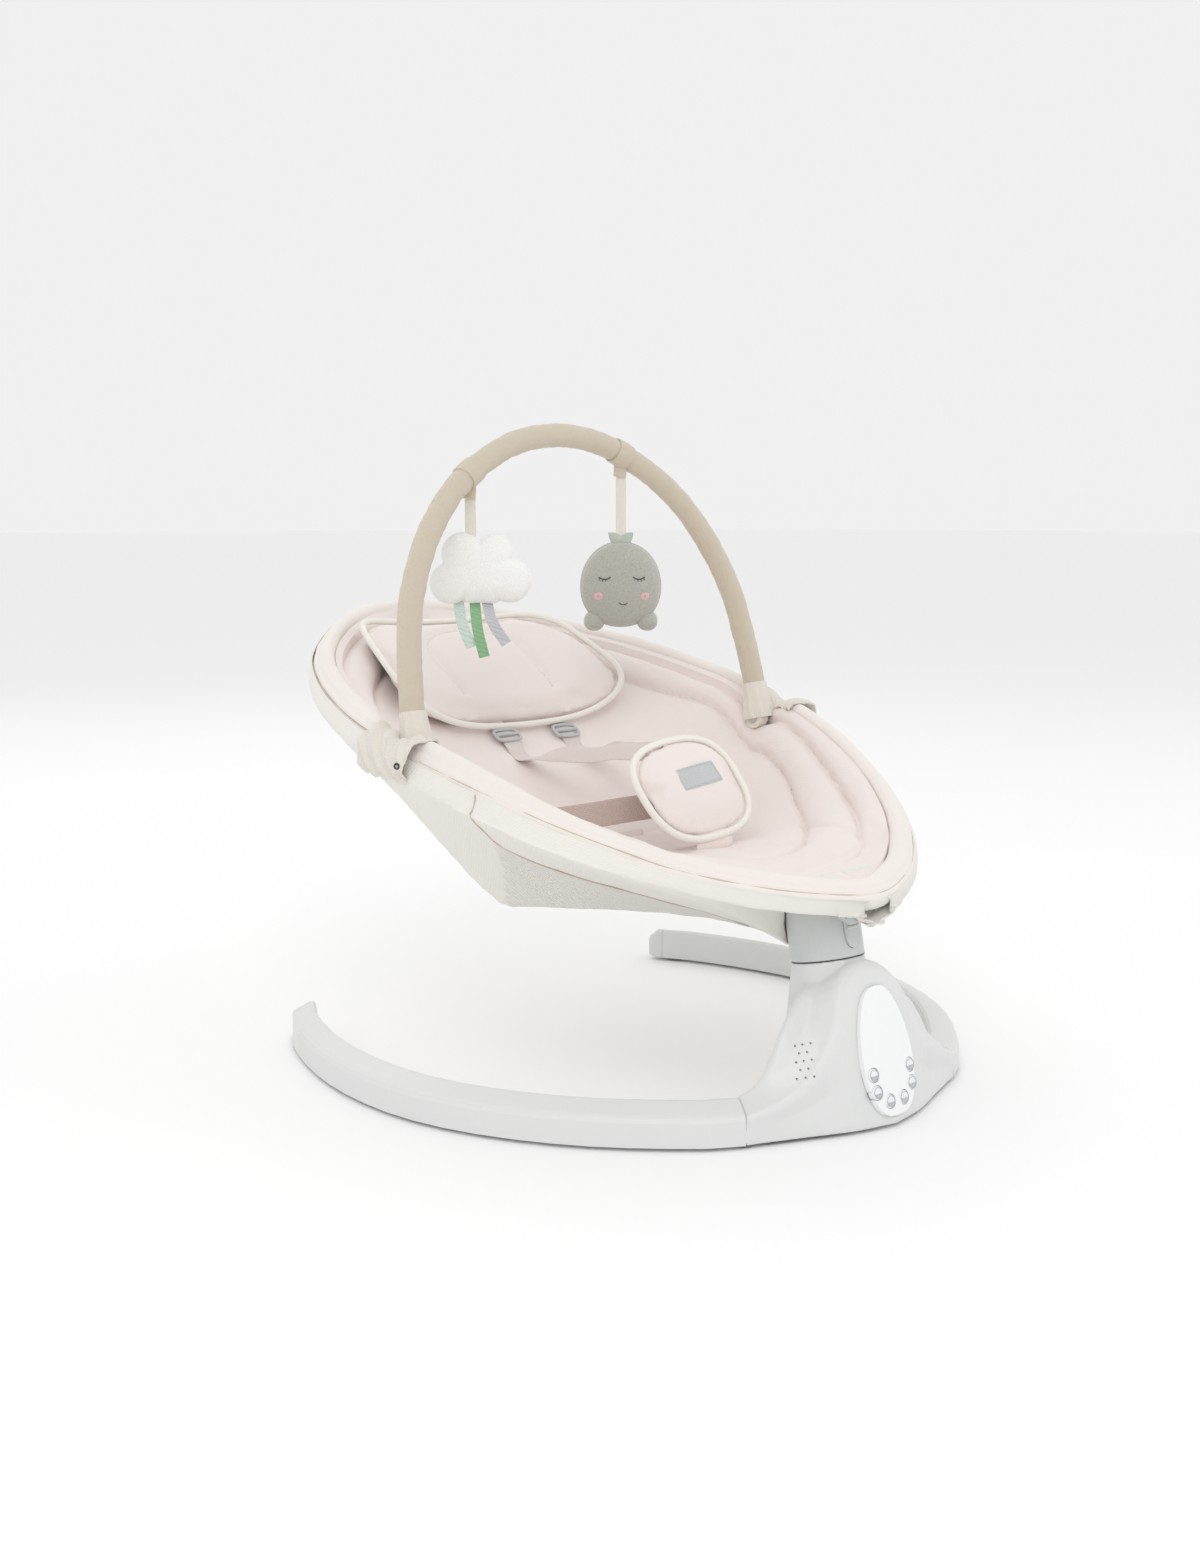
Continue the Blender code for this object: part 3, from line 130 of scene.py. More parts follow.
def even(points, count):
    """The same line with evenly spaced points."""
    lengths = [0.0]
    for a, b in zip(points, points[1:]):
        lengths.append(lengths[-1] + (b - a).length)
    result = []
    k = 0
    for i in range(count):
        goal = lengths[-1] * i / (count - 1)
        while k < len(points) - 2 and lengths[k + 1] < goal:
            k += 1
        part = (goal - lengths[k]) / max(lengths[k + 1] - lengths[k], 1e-9)
        result.append(points[k].lerp(points[k + 1], part))
    return result


def lookup(knots, x):
    """A value read from a smooth curve through (x, value) knots."""
    x = min(max(x, knots[0][0]), knots[-1][0])
    slopes = [(b[1] - a[1]) / (b[0] - a[0]) for a, b in zip(knots, knots[1:])]
    for i, (a, b) in enumerate(zip(knots, knots[1:])):
        if x <= b[0]:
            left = slopes[i] if i == 0 else 0.5 * (slopes[i - 1] + slopes[i])
            right = slopes[i] if i == len(slopes) - 1 else 0.5 * (slopes[i] + slopes[i + 1])
            width = b[0] - a[0]
            t = (x - a[0]) / width
            return ((1 + 2 * t) * (1 - t) ** 2 * a[1] + t * (1 - t) ** 2 * width * left
                    + t * t * (3 - 2 * t) * b[1] + t * t * (t - 1) * width * right)
    return knots[-1][1]


def smooth_step(t):
    """A blend from 0 to 1 with level ends."""
    t = min(max(t, 0.0), 1.0)
    return t * t * (3 - 2 * t)


def signed_power(value, power):
    """The value's size raised to a power, with its sign kept."""
    return math.copysign(abs(value) ** power, value)


def wrinkle(point, size, seed):
    """Smooth noise from -1 to 1 at a place."""
    return noise.noise(point / size + Vector((seed * 7.3, seed * 3.1, seed * 1.7)))


def shade(obj, angle=40):
    """Smooth shading that keeps corners sharper than the angle."""
    obj.data.shade_smooth()
    obj.data.set_sharp_from_angle(angle=math.radians(angle))


def grid(name, rows, wrap_rows=False, wrap_columns=True, caps=False, scale=(1.0, 1.0)):
    """A mesh over rows of points, with a UV map in metres along the rows and across them."""
    bm = bmesh.new()
    layer = bm.loops.layers.uv.new("cloth")
    verts = [[bm.verts.new(p) for p in row] for row in rows]
    count = len(rows[0])
    row_pairs = len(rows) if wrap_rows else len(rows) - 1
    column_pairs = count if wrap_columns else count - 1
    for i in range(row_pairs):
        for j in range(column_pairs):
            corners = [(i, j), (i, j + 1), (i + 1, j + 1), (i + 1, j)]
            face = bm.faces.new([verts[a % len(rows)][b % count] for a, b in corners])
            for loop, (a, b) in zip(face.loops, corners):
                loop[layer].uv = (a * scale[0], b * scale[1])
    if caps:
        bm.faces.new(verts[0])
        bm.faces.new(verts[-1])
    bmesh.ops.recalc_face_normals(bm, faces=bm.faces)
    return finish_mesh(name, bm)


def finish_mesh(name, bm):
    """Put a bmesh into the scene as a smooth-shaded object."""
    mesh = bpy.data.meshes.new(name)
    bm.to_mesh(mesh)
    bm.free()
    obj = bpy.data.objects.new(name, mesh)
    bpy.context.scene.collection.objects.link(obj)
    shade(obj)
    return obj


def circle(centre, normal, radius, sides, up=Vector((0, 0, 1))):
    """A ring of points around an axis."""
    side = normal.cross(up)
    if side.length < 1e-6:
        side = normal.cross(Vector((1, 0, 0)))
    side.normalize()
    top = side.cross(normal).normalized()
    return [centre + radius * (math.cos(2 * math.pi * k / sides) * top
                               + math.sin(2 * math.pi * k / sides) * side) for k in range(sides)]


def tangents(path, closed=False):
    """The unit direction of a line at each of its points."""
    count = len(path)
    result = []
    for i, point in enumerate(path):
        before = path[i - 1] if i or closed else point
        after = path[(i + 1) % count] if i < count - 1 or closed else point
        result.append((after - before).normalized())
    return result


def tube(name, path, radius, sides=10, closed=False, caps=True, up=Vector((0, 0, 1))):
    """A round tube along a line; radius may be a number or a function of the step."""
    size = radius if callable(radius) else (lambda i: radius)
    rows = [circle(p, t, size(i), sides, up) for i, (p, t) in enumerate(zip(path, tangents(path, closed)))]
    return grid(name, rows, wrap_rows=closed, caps=caps and not closed)


def ribbon(name, path, width, thick, across, bow=0.0):
    """A flat strap with softly rounded edges along a line; across is one direction, or one for each point."""
    rows = []
    turns = across if isinstance(across, list) else [across] * len(path)
    for point, along, turn in zip(path, tangents(path), turns):
        side = (turn - along * turn.dot(along)).normalized()
        normal = along.cross(side).normalized()
        row = []
        for k in range(20):
            angle = 2 * math.pi * k / 20
            u = signed_power(math.cos(angle), 0.35) * width / 2
            v = signed_power(math.sin(angle), 0.8) * thick / 2
            row.append(point + side * u + normal * (v + bow * (1 - (2 * u / width) ** 2)))
        rows.append(row)
    return grid(name, rows, caps=True)


def apply_modifiers(obj):
    """Turn the object's modifiers into plain mesh."""
    graph = bpy.context.evaluated_depsgraph_get()
    made = bpy.data.meshes.new_from_object(obj.evaluated_get(graph))
    obj.modifiers.clear()
    obj.data = made


def solidify(obj, thick, offset=-1.0):
    """Give a sheet its thickness."""
    change = obj.modifiers.new("thickness", "SOLIDIFY")
    change.thickness = thick
    change.offset = offset
    apply_modifiers(obj)
    shade(obj)


def inflate(obj, voxel, cap):
    """Swell a closed form as stuffed cloth, no further than the cap from where it started."""
    remesh = obj.modifiers.new("skin", "REMESH")
    remesh.mode = "VOXEL"
    remesh.voxel_size = voxel
    apply_modifiers(obj)
    start = [v.co.copy() for v in obj.data.vertices]
    cloth = obj.modifiers.new("swell", "CLOTH")
    cloth.settings.use_pressure = True
    cloth.settings.uniform_pressure_force = CLOTH_PRESSURE
    cloth.settings.effector_weights.gravity = 0.0
    cloth.settings.tension_stiffness = 25
    cloth.settings.bending_stiffness = 0.6
    cloth.point_cache.frame_start = 1
    cloth.point_cache.frame_end = CLOTH_FRAMES
    for step in range(1, CLOTH_FRAMES + 1):
        bpy.context.scene.frame_set(step)
    apply_modifiers(obj)
    for vertex, was in zip(obj.data.vertices, start):
        move = vertex.co - was
        if move.length > cap:
            vertex.co = was + move * (cap / move.length)
    bpy.context.scene.frame_set(1)
    soften(obj, 4)
    shade(obj, 180)


def soften(obj, rounds):
    """Even out a mesh."""
    change = obj.modifiers.new("soften", "SMOOTH")
    change.factor = 0.5
    change.iterations = rounds
    apply_modifiers(obj)


def put(obj, body, look, *nodes):
    """Set the piece's material, what it moves with and what it stands for."""
    obj.data.materials.clear()
    obj.data.materials.append(look)
    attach(obj, body)
    if nodes:
        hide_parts(*nodes)
    return obj


# Materials -----------------------------------------------------------------------------------------

class Look:
    """A Principled material with short calls for its texture nodes."""

    def __init__(self, name, colour, roughness, sheen=0.0, coat=0.0, metallic=0.0, mapping=None):
        self.material = bpy.data.materials.new(name)
        self.material.use_nodes = True
        self.tree = self.material.node_tree
        self.shader = self.tree.nodes["Principled BSDF"]
        self.shader.inputs["Base Color"].default_value = (*colour, 1.0)
        self.shader.inputs["Roughness"].default_value = roughness
        self.shader.inputs["Metallic"].default_value = metallic
        self.shader.inputs["Sheen Weight"].default_value = sheen
        self.shader.inputs["Sheen Roughness"].default_value = 0.6
        self.shader.inputs["Coat Weight"].default_value = coat
        self.shader.inputs["Coat Roughness"].default_value = 0.12
        self.material.diffuse_color = (*colour, 1.0)
        self.normal = None
        if mapping:
            node = self.tree.nodes.new("ShaderNodeUVMap")
            node.uv_map = mapping
            self.place = node.outputs["UV"]
        else:
            self.place = self.tree.nodes.new("ShaderNodeTexCoord").outputs["Object"]

    def add(self, kind, **inputs):
        """A node with its inputs set or linked."""
        node = self.tree.nodes.new(kind)
        for key, value in inputs.items():
            socket = node.inputs[key.replace("_", " ")]
            if isinstance(value, bpy.types.NodeSocket):
                self.tree.links.new(value, socket)
            else:
                socket.default_value = value
        return node

    def stretched(self, scale):
        """The texture place stretched along each axis."""
        node = self.add("ShaderNodeMapping", Vector=self.place, Scale=scale)
        return node.outputs["Vector"]

    def noise(self, scale, detail=3.0, stretch=None):
        """A noise value around 0.5."""
        place = self.stretched(stretch) if stretch else self.place
        return self.add("ShaderNodeTexNoise", Vector=place, Scale=scale, Detail=detail).outputs["Fac"]

    def wave(self, scale, axis, distortion):
        """Bands across an axis, from 0 to 1."""
        node = self.add("ShaderNodeTexWave", Vector=self.place, Scale=scale, Distortion=distortion, Detail=1.0)
        node.inputs["Detail Scale"].default_value = 1.5
        node.bands_direction = axis
        return node.outputs["Fac"]

    def ranged(self, value, low, high, out_low, out_high):
        """The value moved from one range to another."""
        node = self.add("ShaderNodeMapRange", Value=value, From_Min=low, From_Max=high, To_Min=out_low, To_Max=out_high)
        return node.outputs["Result"]

    def maths(self, kind, a, b):
        """Two values put together."""
        node = self.tree.nodes.new("ShaderNodeMath")
        node.operation = kind
        for socket, value in zip(node.inputs, (a, b)):
            if isinstance(value, bpy.types.NodeSocket):
                self.tree.links.new(value, socket)
            else:
                socket.default_value = value
        return node.outputs["Value"]

    def tint(self, factor, other):
        """Blend the base colour towards another colour by a value."""
        node = self.tree.nodes.new("ShaderNodeMix")
        node.data_type = "RGBA"
        self.tree.links.new(factor, node.inputs["Factor"])
        base = self.shader.inputs["Base Color"]
        if base.is_linked:
            self.tree.links.new(base.links[0].from_socket, node.inputs[6])
        else:
            node.inputs[6].default_value = base.default_value
        node.inputs[7].default_value = (*other, 1.0)
        self.tree.links.new(node.outputs[2], base)

    def rough(self, value):
        """Drive the roughness."""
        self.tree.links.new(value, self.shader.inputs["Roughness"])

    def bump(self, height, distance, strength=1.0):
        """Lay one more layer of relief on the surface."""
        node = self.add("ShaderNodeBump", Height=height, Distance=distance, Strength=strength)
        if self.normal:
            self.tree.links.new(self.normal, node.inputs["Normal"])
        self.normal = node.outputs["Normal"]
        self.tree.links.new(self.normal, self.shader.inputs["Normal"])


def darker(colour, factor):
    """The colour times a factor."""
    return tuple(min(c * factor, 1.0) for c in colour)


def cloth_base(name, colour, mapping=None, sheen=0.25):
    """Shared start of every cloth: soft patches of colour and fine fuzz."""
    look = Look(name, colour, 0.92, sheen=sheen, mapping=mapping)
    look.tint(look.ranged(look.noise(9.0), 0.35, 0.7, 0.0, 0.55), darker(colour, 0.945))
    fuzz = look.noise(1400.0, 2.0)
    look.tint(look.ranged(fuzz, 0.35, 0.75, 0.0, 0.5), darker(colour, 0.90))
    look.rough(look.ranged(look.noise(240.0), 0.3, 0.7, 0.86, 0.98))
    look.bump(fuzz, 0.0005, 0.35)
    return look


def jersey(name, colour):
    """Fine stretch jersey: tiny wales with a little pilling."""
    look = cloth_base(name, colour)
    wales = look.wave(210.0, "X", 1.2)
    look.bump(wales, 0.00022, 0.5)
    look.bump(look.noise(55.0, 2.0), 0.0016, 0.22)
    return look.material


def ribbed(name, colour):
    """Ribbed knit: narrow ribs, with painted shade darkening their grooves."""
    look = cloth_base(name, colour, "cloth")
    ribs = look.wave(130.0, "X", 0.25)
    # painted shade: the colour darkens where the ribs' relief is lowest
    look.tint(look.ranged(ribs, 0.0, 0.5, 0.55, 0.0), darker(colour, 0.84))
    look.bump(ribs, 0.0008, 0.8)
    return look.material


def knit(name, colour):
    """Smooth interlock knit seen on the rim roll."""
    look = cloth_base(name, colour)
    fine = look.maths("MULTIPLY", look.wave(330.0, "X", 1.0), look.wave(330.0, "Z", 1.0))
    # painted shade: the colour darkens in the hollows between the stitches, where the relief is lowest
    look.tint(look.ranged(fine, 0.0, 0.5, 0.22, 0.0), darker(colour, 0.86))
    look.bump(fine, 0.00030, 0.6)
    look.bump(look.noise(38.0, 2.0), 0.0022, 0.20)
    return look.material


def twill(name, colour):
    """Fine diagonal twill."""
    look = cloth_base(name, colour, "cloth")
    lines = look.wave(230.0, "DIAGONAL", 0.4)
    # painted shade: the colour darkens in the hollows between the twill lines, where the relief is lowest
    look.tint(look.ranged(lines, 0.0, 0.4, 0.28, 0.0), darker(colour, 0.86))
    look.bump(lines, 0.0003, 0.6)
    look.bump(look.noise(38.0, 2.0), 0.0022, 0.20)
    return look.material


def canvas(name, colour):
    """Napped cloth: crossed threads under a brushed surface."""
    look = cloth_base(name, colour, sheen=0.4)
    threads = look.maths("ADD", look.wave(280.0, "X", 2.0), look.wave(280.0, "Z", 2.0))
    # painted shade: the colour darkens in the hollows between the threads, where the relief is lowest
    look.tint(look.ranged(threads, 0.2, 1.2, 0.35, 0.0), darker(colour, 0.82))
    look.bump(threads, 0.00035, 0.6)
    look.bump(look.noise(160.0, 4.0), 0.0010, 0.35)
    return look.material


def plush(name, colour, contrast=0.6):
    """Short pile: tufted noise at two sizes and a strong sheen."""
    look = cloth_base(name, colour, sheen=0.6)
    tufts = look.noise(620.0, 5.0)
    # painted shade: the colour darkens down between the tufts, where the relief is lowest, by the contrast amount
    look.tint(look.ranged(tufts, 0.40, 0.62, contrast, 0.0), darker(colour, 0.80))
    look.bump(tufts, 0.0012, 0.65)
    look.bump(look.noise(90.0, 3.0), 0.0018, 0.3)
    return look.material


def webbing(name, colour):
    """Woven tape: strong cross ribs."""
    look = cloth_base(name, colour)
    ribs = look.wave(170.0, "DIAGONAL", 3.0)
    # painted shade: the colour darkens in the hollows between the ribs, where the relief is lowest
    look.tint(look.ranged(ribs, 0.0, 0.5, 0.5, 0.0), darker(colour, 0.82))
    look.bump(ribs, 0.0008, 0.7)
    return look.material


def moulded(name, colour, roughness, grain=0.00005, coat=0.0):
    """Moulded plastic: a faint grain, slow changes in gloss and colour."""
    look = Look(name, colour, roughness, coat=coat)
    look.tint(look.ranged(look.noise(6.0, 2.0), 0.35, 0.7, 0.0, 0.5), darker(colour, 0.965))
    look.rough(look.ranged(look.noise(28.0), 0.3, 0.7, roughness * 0.85, roughness * 1.15))
    if grain:
        look.bump(look.noise(1800.0, 2.0), grain, 0.5)
    return look.material


def metal(name, colour, roughness):
    """Drawn metal: fine streaks."""
    look = Look(name, colour, roughness, metallic=1.0)
    streaks = look.noise(60.0, 3.0, stretch=(1.0, 1.0, 14.0))
    look.rough(look.ranged(streaks, 0.3, 0.7, roughness * 0.7, roughness * 1.4))
    look.tint(look.ranged(streaks, 0.3, 0.7, 0.0, 0.4), darker(colour, 0.85))
    look.bump(streaks, 0.00008, 0.4)
    return look.material


SHELL = moulded("shell_plastic", (0.735, 0.745, 0.735), 0.40)
COLLAR = moulded("collar_plastic", (0.60, 0.62, 0.615), 0.40)
PANEL = moulded("panel_gloss", (0.90, 0.905, 0.91), 0.16, 0.0, coat=0.6)
KEY = moulded("key_gloss", (0.87, 0.875, 0.88), 0.22, 0.0, coat=0.3)
# grey for the key rings and label stitches, and painted shade in the key crescents
GREY_LINE_AND_SHADE = moulded("grey_line_and_painted_shade", (0.50, 0.52, 0.54), 0.5)
# black for the speaker, socket and eyelets, and painted shade in the collar's ring gap
RUBBER = moulded("foot_rubber_look", (0.22, 0.22, 0.22), 0.8, 0.0002)
BLACK_AND_SHADE = moulded("black_plastic_and_painted_shade_look", (0.04, 0.04, 0.042), 0.5)
BOARD = moulded("board_look", (0.05, 0.25, 0.12), 0.5)
SLIDER = moulded("slider_plastic", (0.52, 0.54, 0.55), 0.35)
HUB = moulded("hub_plastic", (0.80, 0.75, 0.67), 0.5)
STEEL = metal("steel_look", (0.60, 0.60, 0.60), 0.30)
BRASS = metal("brass_look", (0.70, 0.52, 0.26), 0.35)
COPPER = metal("copper_look", (0.72, 0.36, 0.18), 0.40)
CREAM = knit("cream_knit_look", (0.875, 0.84, 0.785))
CREAM_TWILL = twill("cream_twill_look", (0.872, 0.842, 0.788))
BLUSH_RIM = jersey("blush_rim_look", (0.885, 0.825, 0.780))
SEAM_THREAD = moulded("seam_thread_look", (0.60, 0.50, 0.41), 0.9)
CREAM_RIB = ribbed("cream_rib_look", (0.87, 0.845, 0.79))
BLUSH = jersey("blush_jersey_look", (0.875, 0.79, 0.755))
BLUSH_WEB = webbing("blush_webbing_look", (0.83, 0.73, 0.70))
PIPING = knit("piping_look", (0.93, 0.895, 0.83))
CANVAS = canvas("beige_canvas_look", (0.66, 0.575, 0.45))
CANVAS_LIGHT = canvas("cream_canvas_look", (0.85, 0.80, 0.72))
MAUVE = webbing("mauve_webbing_look", (0.60, 0.47, 0.42))
THREAD = moulded("thread_look", (0.74, 0.66, 0.60), 0.9)
DARK_THREAD = moulded("dark_thread_look", (0.10, 0.10, 0.10), 0.9)
LABEL = webbing("label_look", (0.62, 0.64, 0.65))
WHITE_PILE = plush("white_plush_look", (0.92, 0.92, 0.895), 0.2)
GREY_PILE = plush("grey_plush_look", (0.47, 0.475, 0.415), 0.9)
LEAF = plush("leaf_felt_look", (0.52, 0.56, 0.50))
CHEEK = plush("cheek_felt_look", (0.80, 0.48, 0.50))
MINT = webbing("mint_ribbon_look", (0.66, 0.80, 0.73))
GREEN = webbing("green_ribbon_look", (0.28, 0.52, 0.28))
SILVER = webbing("grey_ribbon_look", (0.60, 0.61, 0.65))


# Base ----------------------------------------------------------------------------------------------

def dress_nodes():
    """Better materials on the CAD nodes that stay in view."""
    looks = {
        "base_plate": SHELL, "rail_cap": SHELL, "rail": SHELL, "control_panel": PANEL, "key_": KEY, "foot_": RUBBER,
        "swing_collar": COLLAR, "release_button": COLLAR, "seat_bracket": COLLAR, "swing_bushing": BRASS,
        "drive_coil": COPPER, "circuit_board": BOARD, "speaker": BLACK_AND_SHADE, "power_socket": BLACK_AND_SHADE, "harness_buckle": SLIDER,
        "bar_hub": HUB, "housing": SHELL,
    }
    for name, obj in NODES.items():
        look = next((look for start, look in looks.items() if name.startswith(start)), STEEL)
        obj.data.materials.clear()
        obj.data.materials.append(look)


def make_shell():
    """The housing with its corners melted into one flowing skin, then its sound holes cut again."""
    shell = NODES["housing"].copy()
    shell.data = shell.data.copy()
    shell.name = "housing_skin"
    shell.parent = None
    shell.matrix_world = Matrix.Identity(4)
    bpy.context.scene.collection.objects.link(shell)
    bm = bmesh.new()
    bm.from_mesh(shell.data)
    bm.normal_update()
    tree = bvhtree.BVHTree.FromBMesh(bm)
    for face in list(bm.faces):
        centre = face.calc_center_median()
        if tree.ray_cast(centre + face.normal * 0.0001, face.normal, 1.0)[0] is None:
            outer = [bm.verts.new(v.co - face.normal * 0.0002) for v in face.verts]
            inner = [bm.verts.new(v.co - face.normal * SKIN_DEPTH) for v in face.verts]
            bm.faces.new(outer)
            bm.faces.new(inner[::-1])
            for j in range(len(outer)):
                bm.faces.new((outer[j - 1], inner[j - 1], inner[j], outer[j]))
    bm.to_mesh(shell.data)
    bm.free()
    remesh = shell.modifiers.new("skin", "REMESH")
    remesh.mode = "VOXEL"
    remesh.voxel_size = 0.0015
    apply_modifiers(shell)
    soften(shell, 7)
    bm = bmesh.new()
    for row in range(5):
        for column in range(3 - row % 2):
            x = -0.078 + 0.0065 * column + 0.0032 * (row % 2) + 0.002 * row
            z = 0.048 + 0.0062 * row
            start = Vector((x - 0.008, -0.3300, z + 0.004))
            heading = Vector((0.25, 1.0, -0.22)).normalized()
            rings = [[bm.verts.new(p) for p in circle(start + heading * reach, heading, 0.0010, 12)]
                     for reach in (0.0, 0.052)]
            for j in range(12):
                bm.faces.new((rings[0][j], rings[0][(j + 1) % 12], rings[1][(j + 1) % 12], rings[1][j]))
            bm.faces.new(rings[0])
            bm.faces.new(rings[1])
    bmesh.ops.recalc_face_normals(bm, faces=bm.faces)
    cutter = finish_mesh("hole_cutter", bm)
    cut = shell.modifiers.new("holes", "BOOLEAN")
    cut.object = cutter
    cut.solver = "MANIFOLD"
    apply_modifiers(shell)
    bpy.data.objects.remove(cutter)
    shade(shell, 60)
    put(shell, "base", SHELL, "housing")


def make_button_details():
    """A raised rim and a pinched ridge on the release button, and a thin black ring of painted shade in the gap under
    the collar.
    """
    front = Vector((0, -math.cos(AXIS_TILT), math.sin(AXIS_TILT)))
    centre = PIVOT + AXIS * 0.0255
    loop = []
    for k in range(48):
        angle = 2 * math.pi * k / 48
        across = 0.0078 * signed_power(math.sin(angle), 0.7)
        along = 0.0168 * signed_power(math.cos(angle), 0.7)
        sag = across * across / (2 * COLLAR_RADIUS)
        loop.append(centre + Vector((across, 0, 0)) + AXIS * along + front * (COLLAR_RADIUS + 0.0013 - sag))
    rim = tube("button_rim", loop, 0.0010, 8, closed=True)
    put(rim, "release_button", COLLAR)
    ridge = []
    for k in range(9):
        across = -0.0068 + 0.0136 * k / 8
        pinch = 0.0014 * (1 - (across / 0.0068) ** 2)
        ridge.append(centre + Vector((across, 0, 0)) + front * (COLLAR_RADIUS + 0.0014 + pinch * 0.6))
    bar = tube("button_ridge", ridge, lambda i: 0.0011 + 0.0010 * math.sin(math.pi * i / 8), 10)
    put(bar, "release_button", COLLAR)
    # painted shade: a thin black ring laid in the gap where the collar meets the housing
    ring = [PIVOT + AXIS * 0.0002 + p for p in circle(Vector(), AXIS, COLLAR_RADIUS - 0.0008, 64)]
    gap = tube("ring_gap_shade", ring, 0.0006, 6, closed=True)
    put(gap, "base", BLACK_AND_SHADE)


def make_key_rings_and_shade_crescents():
    """A thin ring on the face of each key, and a grey lower crescent of painted shade for the key's shaded lower lip.
    """
    for name in KEYS:
        faces = [f for f in NODES[name].data.polygons if f.normal.y < -0.5 and f.normal.z > -0.5]
        area = sum(f.area for f in faces)
        normal = sum((f.normal * f.area for f in faces), Vector()).normalized()
        centre = sum((f.center * f.area for f in faces), Vector()) / area
        lift = max((v.co - centre).dot(normal) for v in NODES[name].data.vertices) + 0.00005
        centre = centre + normal * lift
        low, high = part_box(name)
        radius = (high[0] - low[0]) * 0.5
        side = Vector((0, 0, 1)).cross(normal).normalized()
        up = normal.cross(side).normalized()
        ring = [centre + (side * math.cos(a) + up * math.sin(a)) * radius * 0.80
                for a in (2 * math.pi * k / 40 for k in range(40))]
        put(tube(f"{name}_ring", ring, 0.00022, 6, closed=True), name, GREY_LINE_AND_SHADE)
        # painted shade: a grey crescent over the lower part of the key's face, where its lip is shaded
        rows = []
        for i in range(5):
            row = []
            for k in range(21):
                a = math.pi + math.pi * k / 20
                edge = math.sin(a) * radius * 0.72
                row.append(centre + side * math.cos(a) * radius * 0.72
                           + up * (edge * i / 4 - radius * 0.10 * (1 - i / 4)))
            rows.append(row)
        shade_crescent = grid(f"{name}_mark", rows, wrap_columns=False)
        solidify(shade_crescent, 0.00016, 0.0)
        put(shade_crescent, name, GREY_LINE_AND_SHADE)


# Seat ----------------------------------------------------------------------------------------------

def rim_z(y):
    """Height of the rim's centre line."""
    return RIM_HEIGHT + RIM_SLOPE * y


def egg(count, inset):
    """The closed egg in plan, a given distance inside the seat's outline, from the foot round by the right."""
    half = spline([(x, y, 0.0) for x, y in RIM_OUTLINE], 10, True, True)
    loop = even(half, count // 2 + 1)
    loop = loop + [mirrored(p) for p in reversed(loop[1:-1])]
    result = []
    for point, along in zip(loop, tangents(loop, True)):
        result.append(point + Vector((-along.y, along.x, 0)) * inset)
    return result


def half_widths(inset):
    """(y, half width) pairs of the egg a distance inside the outline."""
    return sorted((p.y, p.x) for p in egg(360, inset) if p.x >= -1e-6)


def read_half(table, y):
    """Half the width at a place along the seat."""
    for (ya, xa), (yb, xb) in zip(table, table[1:]):
        if ya <= y <= yb:
            return xa + (xb - xa) * (y - ya) / max(yb - ya, 1e-9)
    return 0.002


INNER_HALF = half_widths(LIP_INSET + 0.0005)
SEAM_HALF = half_widths(0.0058)
OUTER_HALF = half_widths(0.0040)
LIP_HALF = half_widths(0.0200)


def inner_half(y):
    """Half the width inside the rim roll at a place along the seat."""
    return read_half(INNER_HALF, y)


def lip(y):
    """Height of the padded lip over the rim's centre line; it dips where the toy bar's ends cross it."""
    full = lookup(LIP, y)
    reach = 0.036 if y > BAR_PIVOT.y else 0.018
    return full + (0.0165 - full) * math.exp(-((y - BAR_PIVOT.y) / reach) ** 2)


def roll_section(y, count):
    """The roll's section as (outward, up): padding pulled over the tube, higher and narrower towards its lip."""
    high = lip(y)
    discs = ((0.0, 0.0, 0.0110), (-0.0015, (high - 0.0075) / 2, 0.0107), (-0.0045, high - 0.0075, 0.0075))
    outline = []
    for k in range(90):
        angle = 2 * math.pi * k / 90
        u = math.sin(angle)
        v = math.cos(angle)
        x, z, radius = max(discs, key=lambda d: d[0] * u + d[1] * v + d[2])
        outline.append(Vector((x + radius * u, z + radius * v, 0)))
    return even([*outline, outline[0]], count + 1)[:-1]


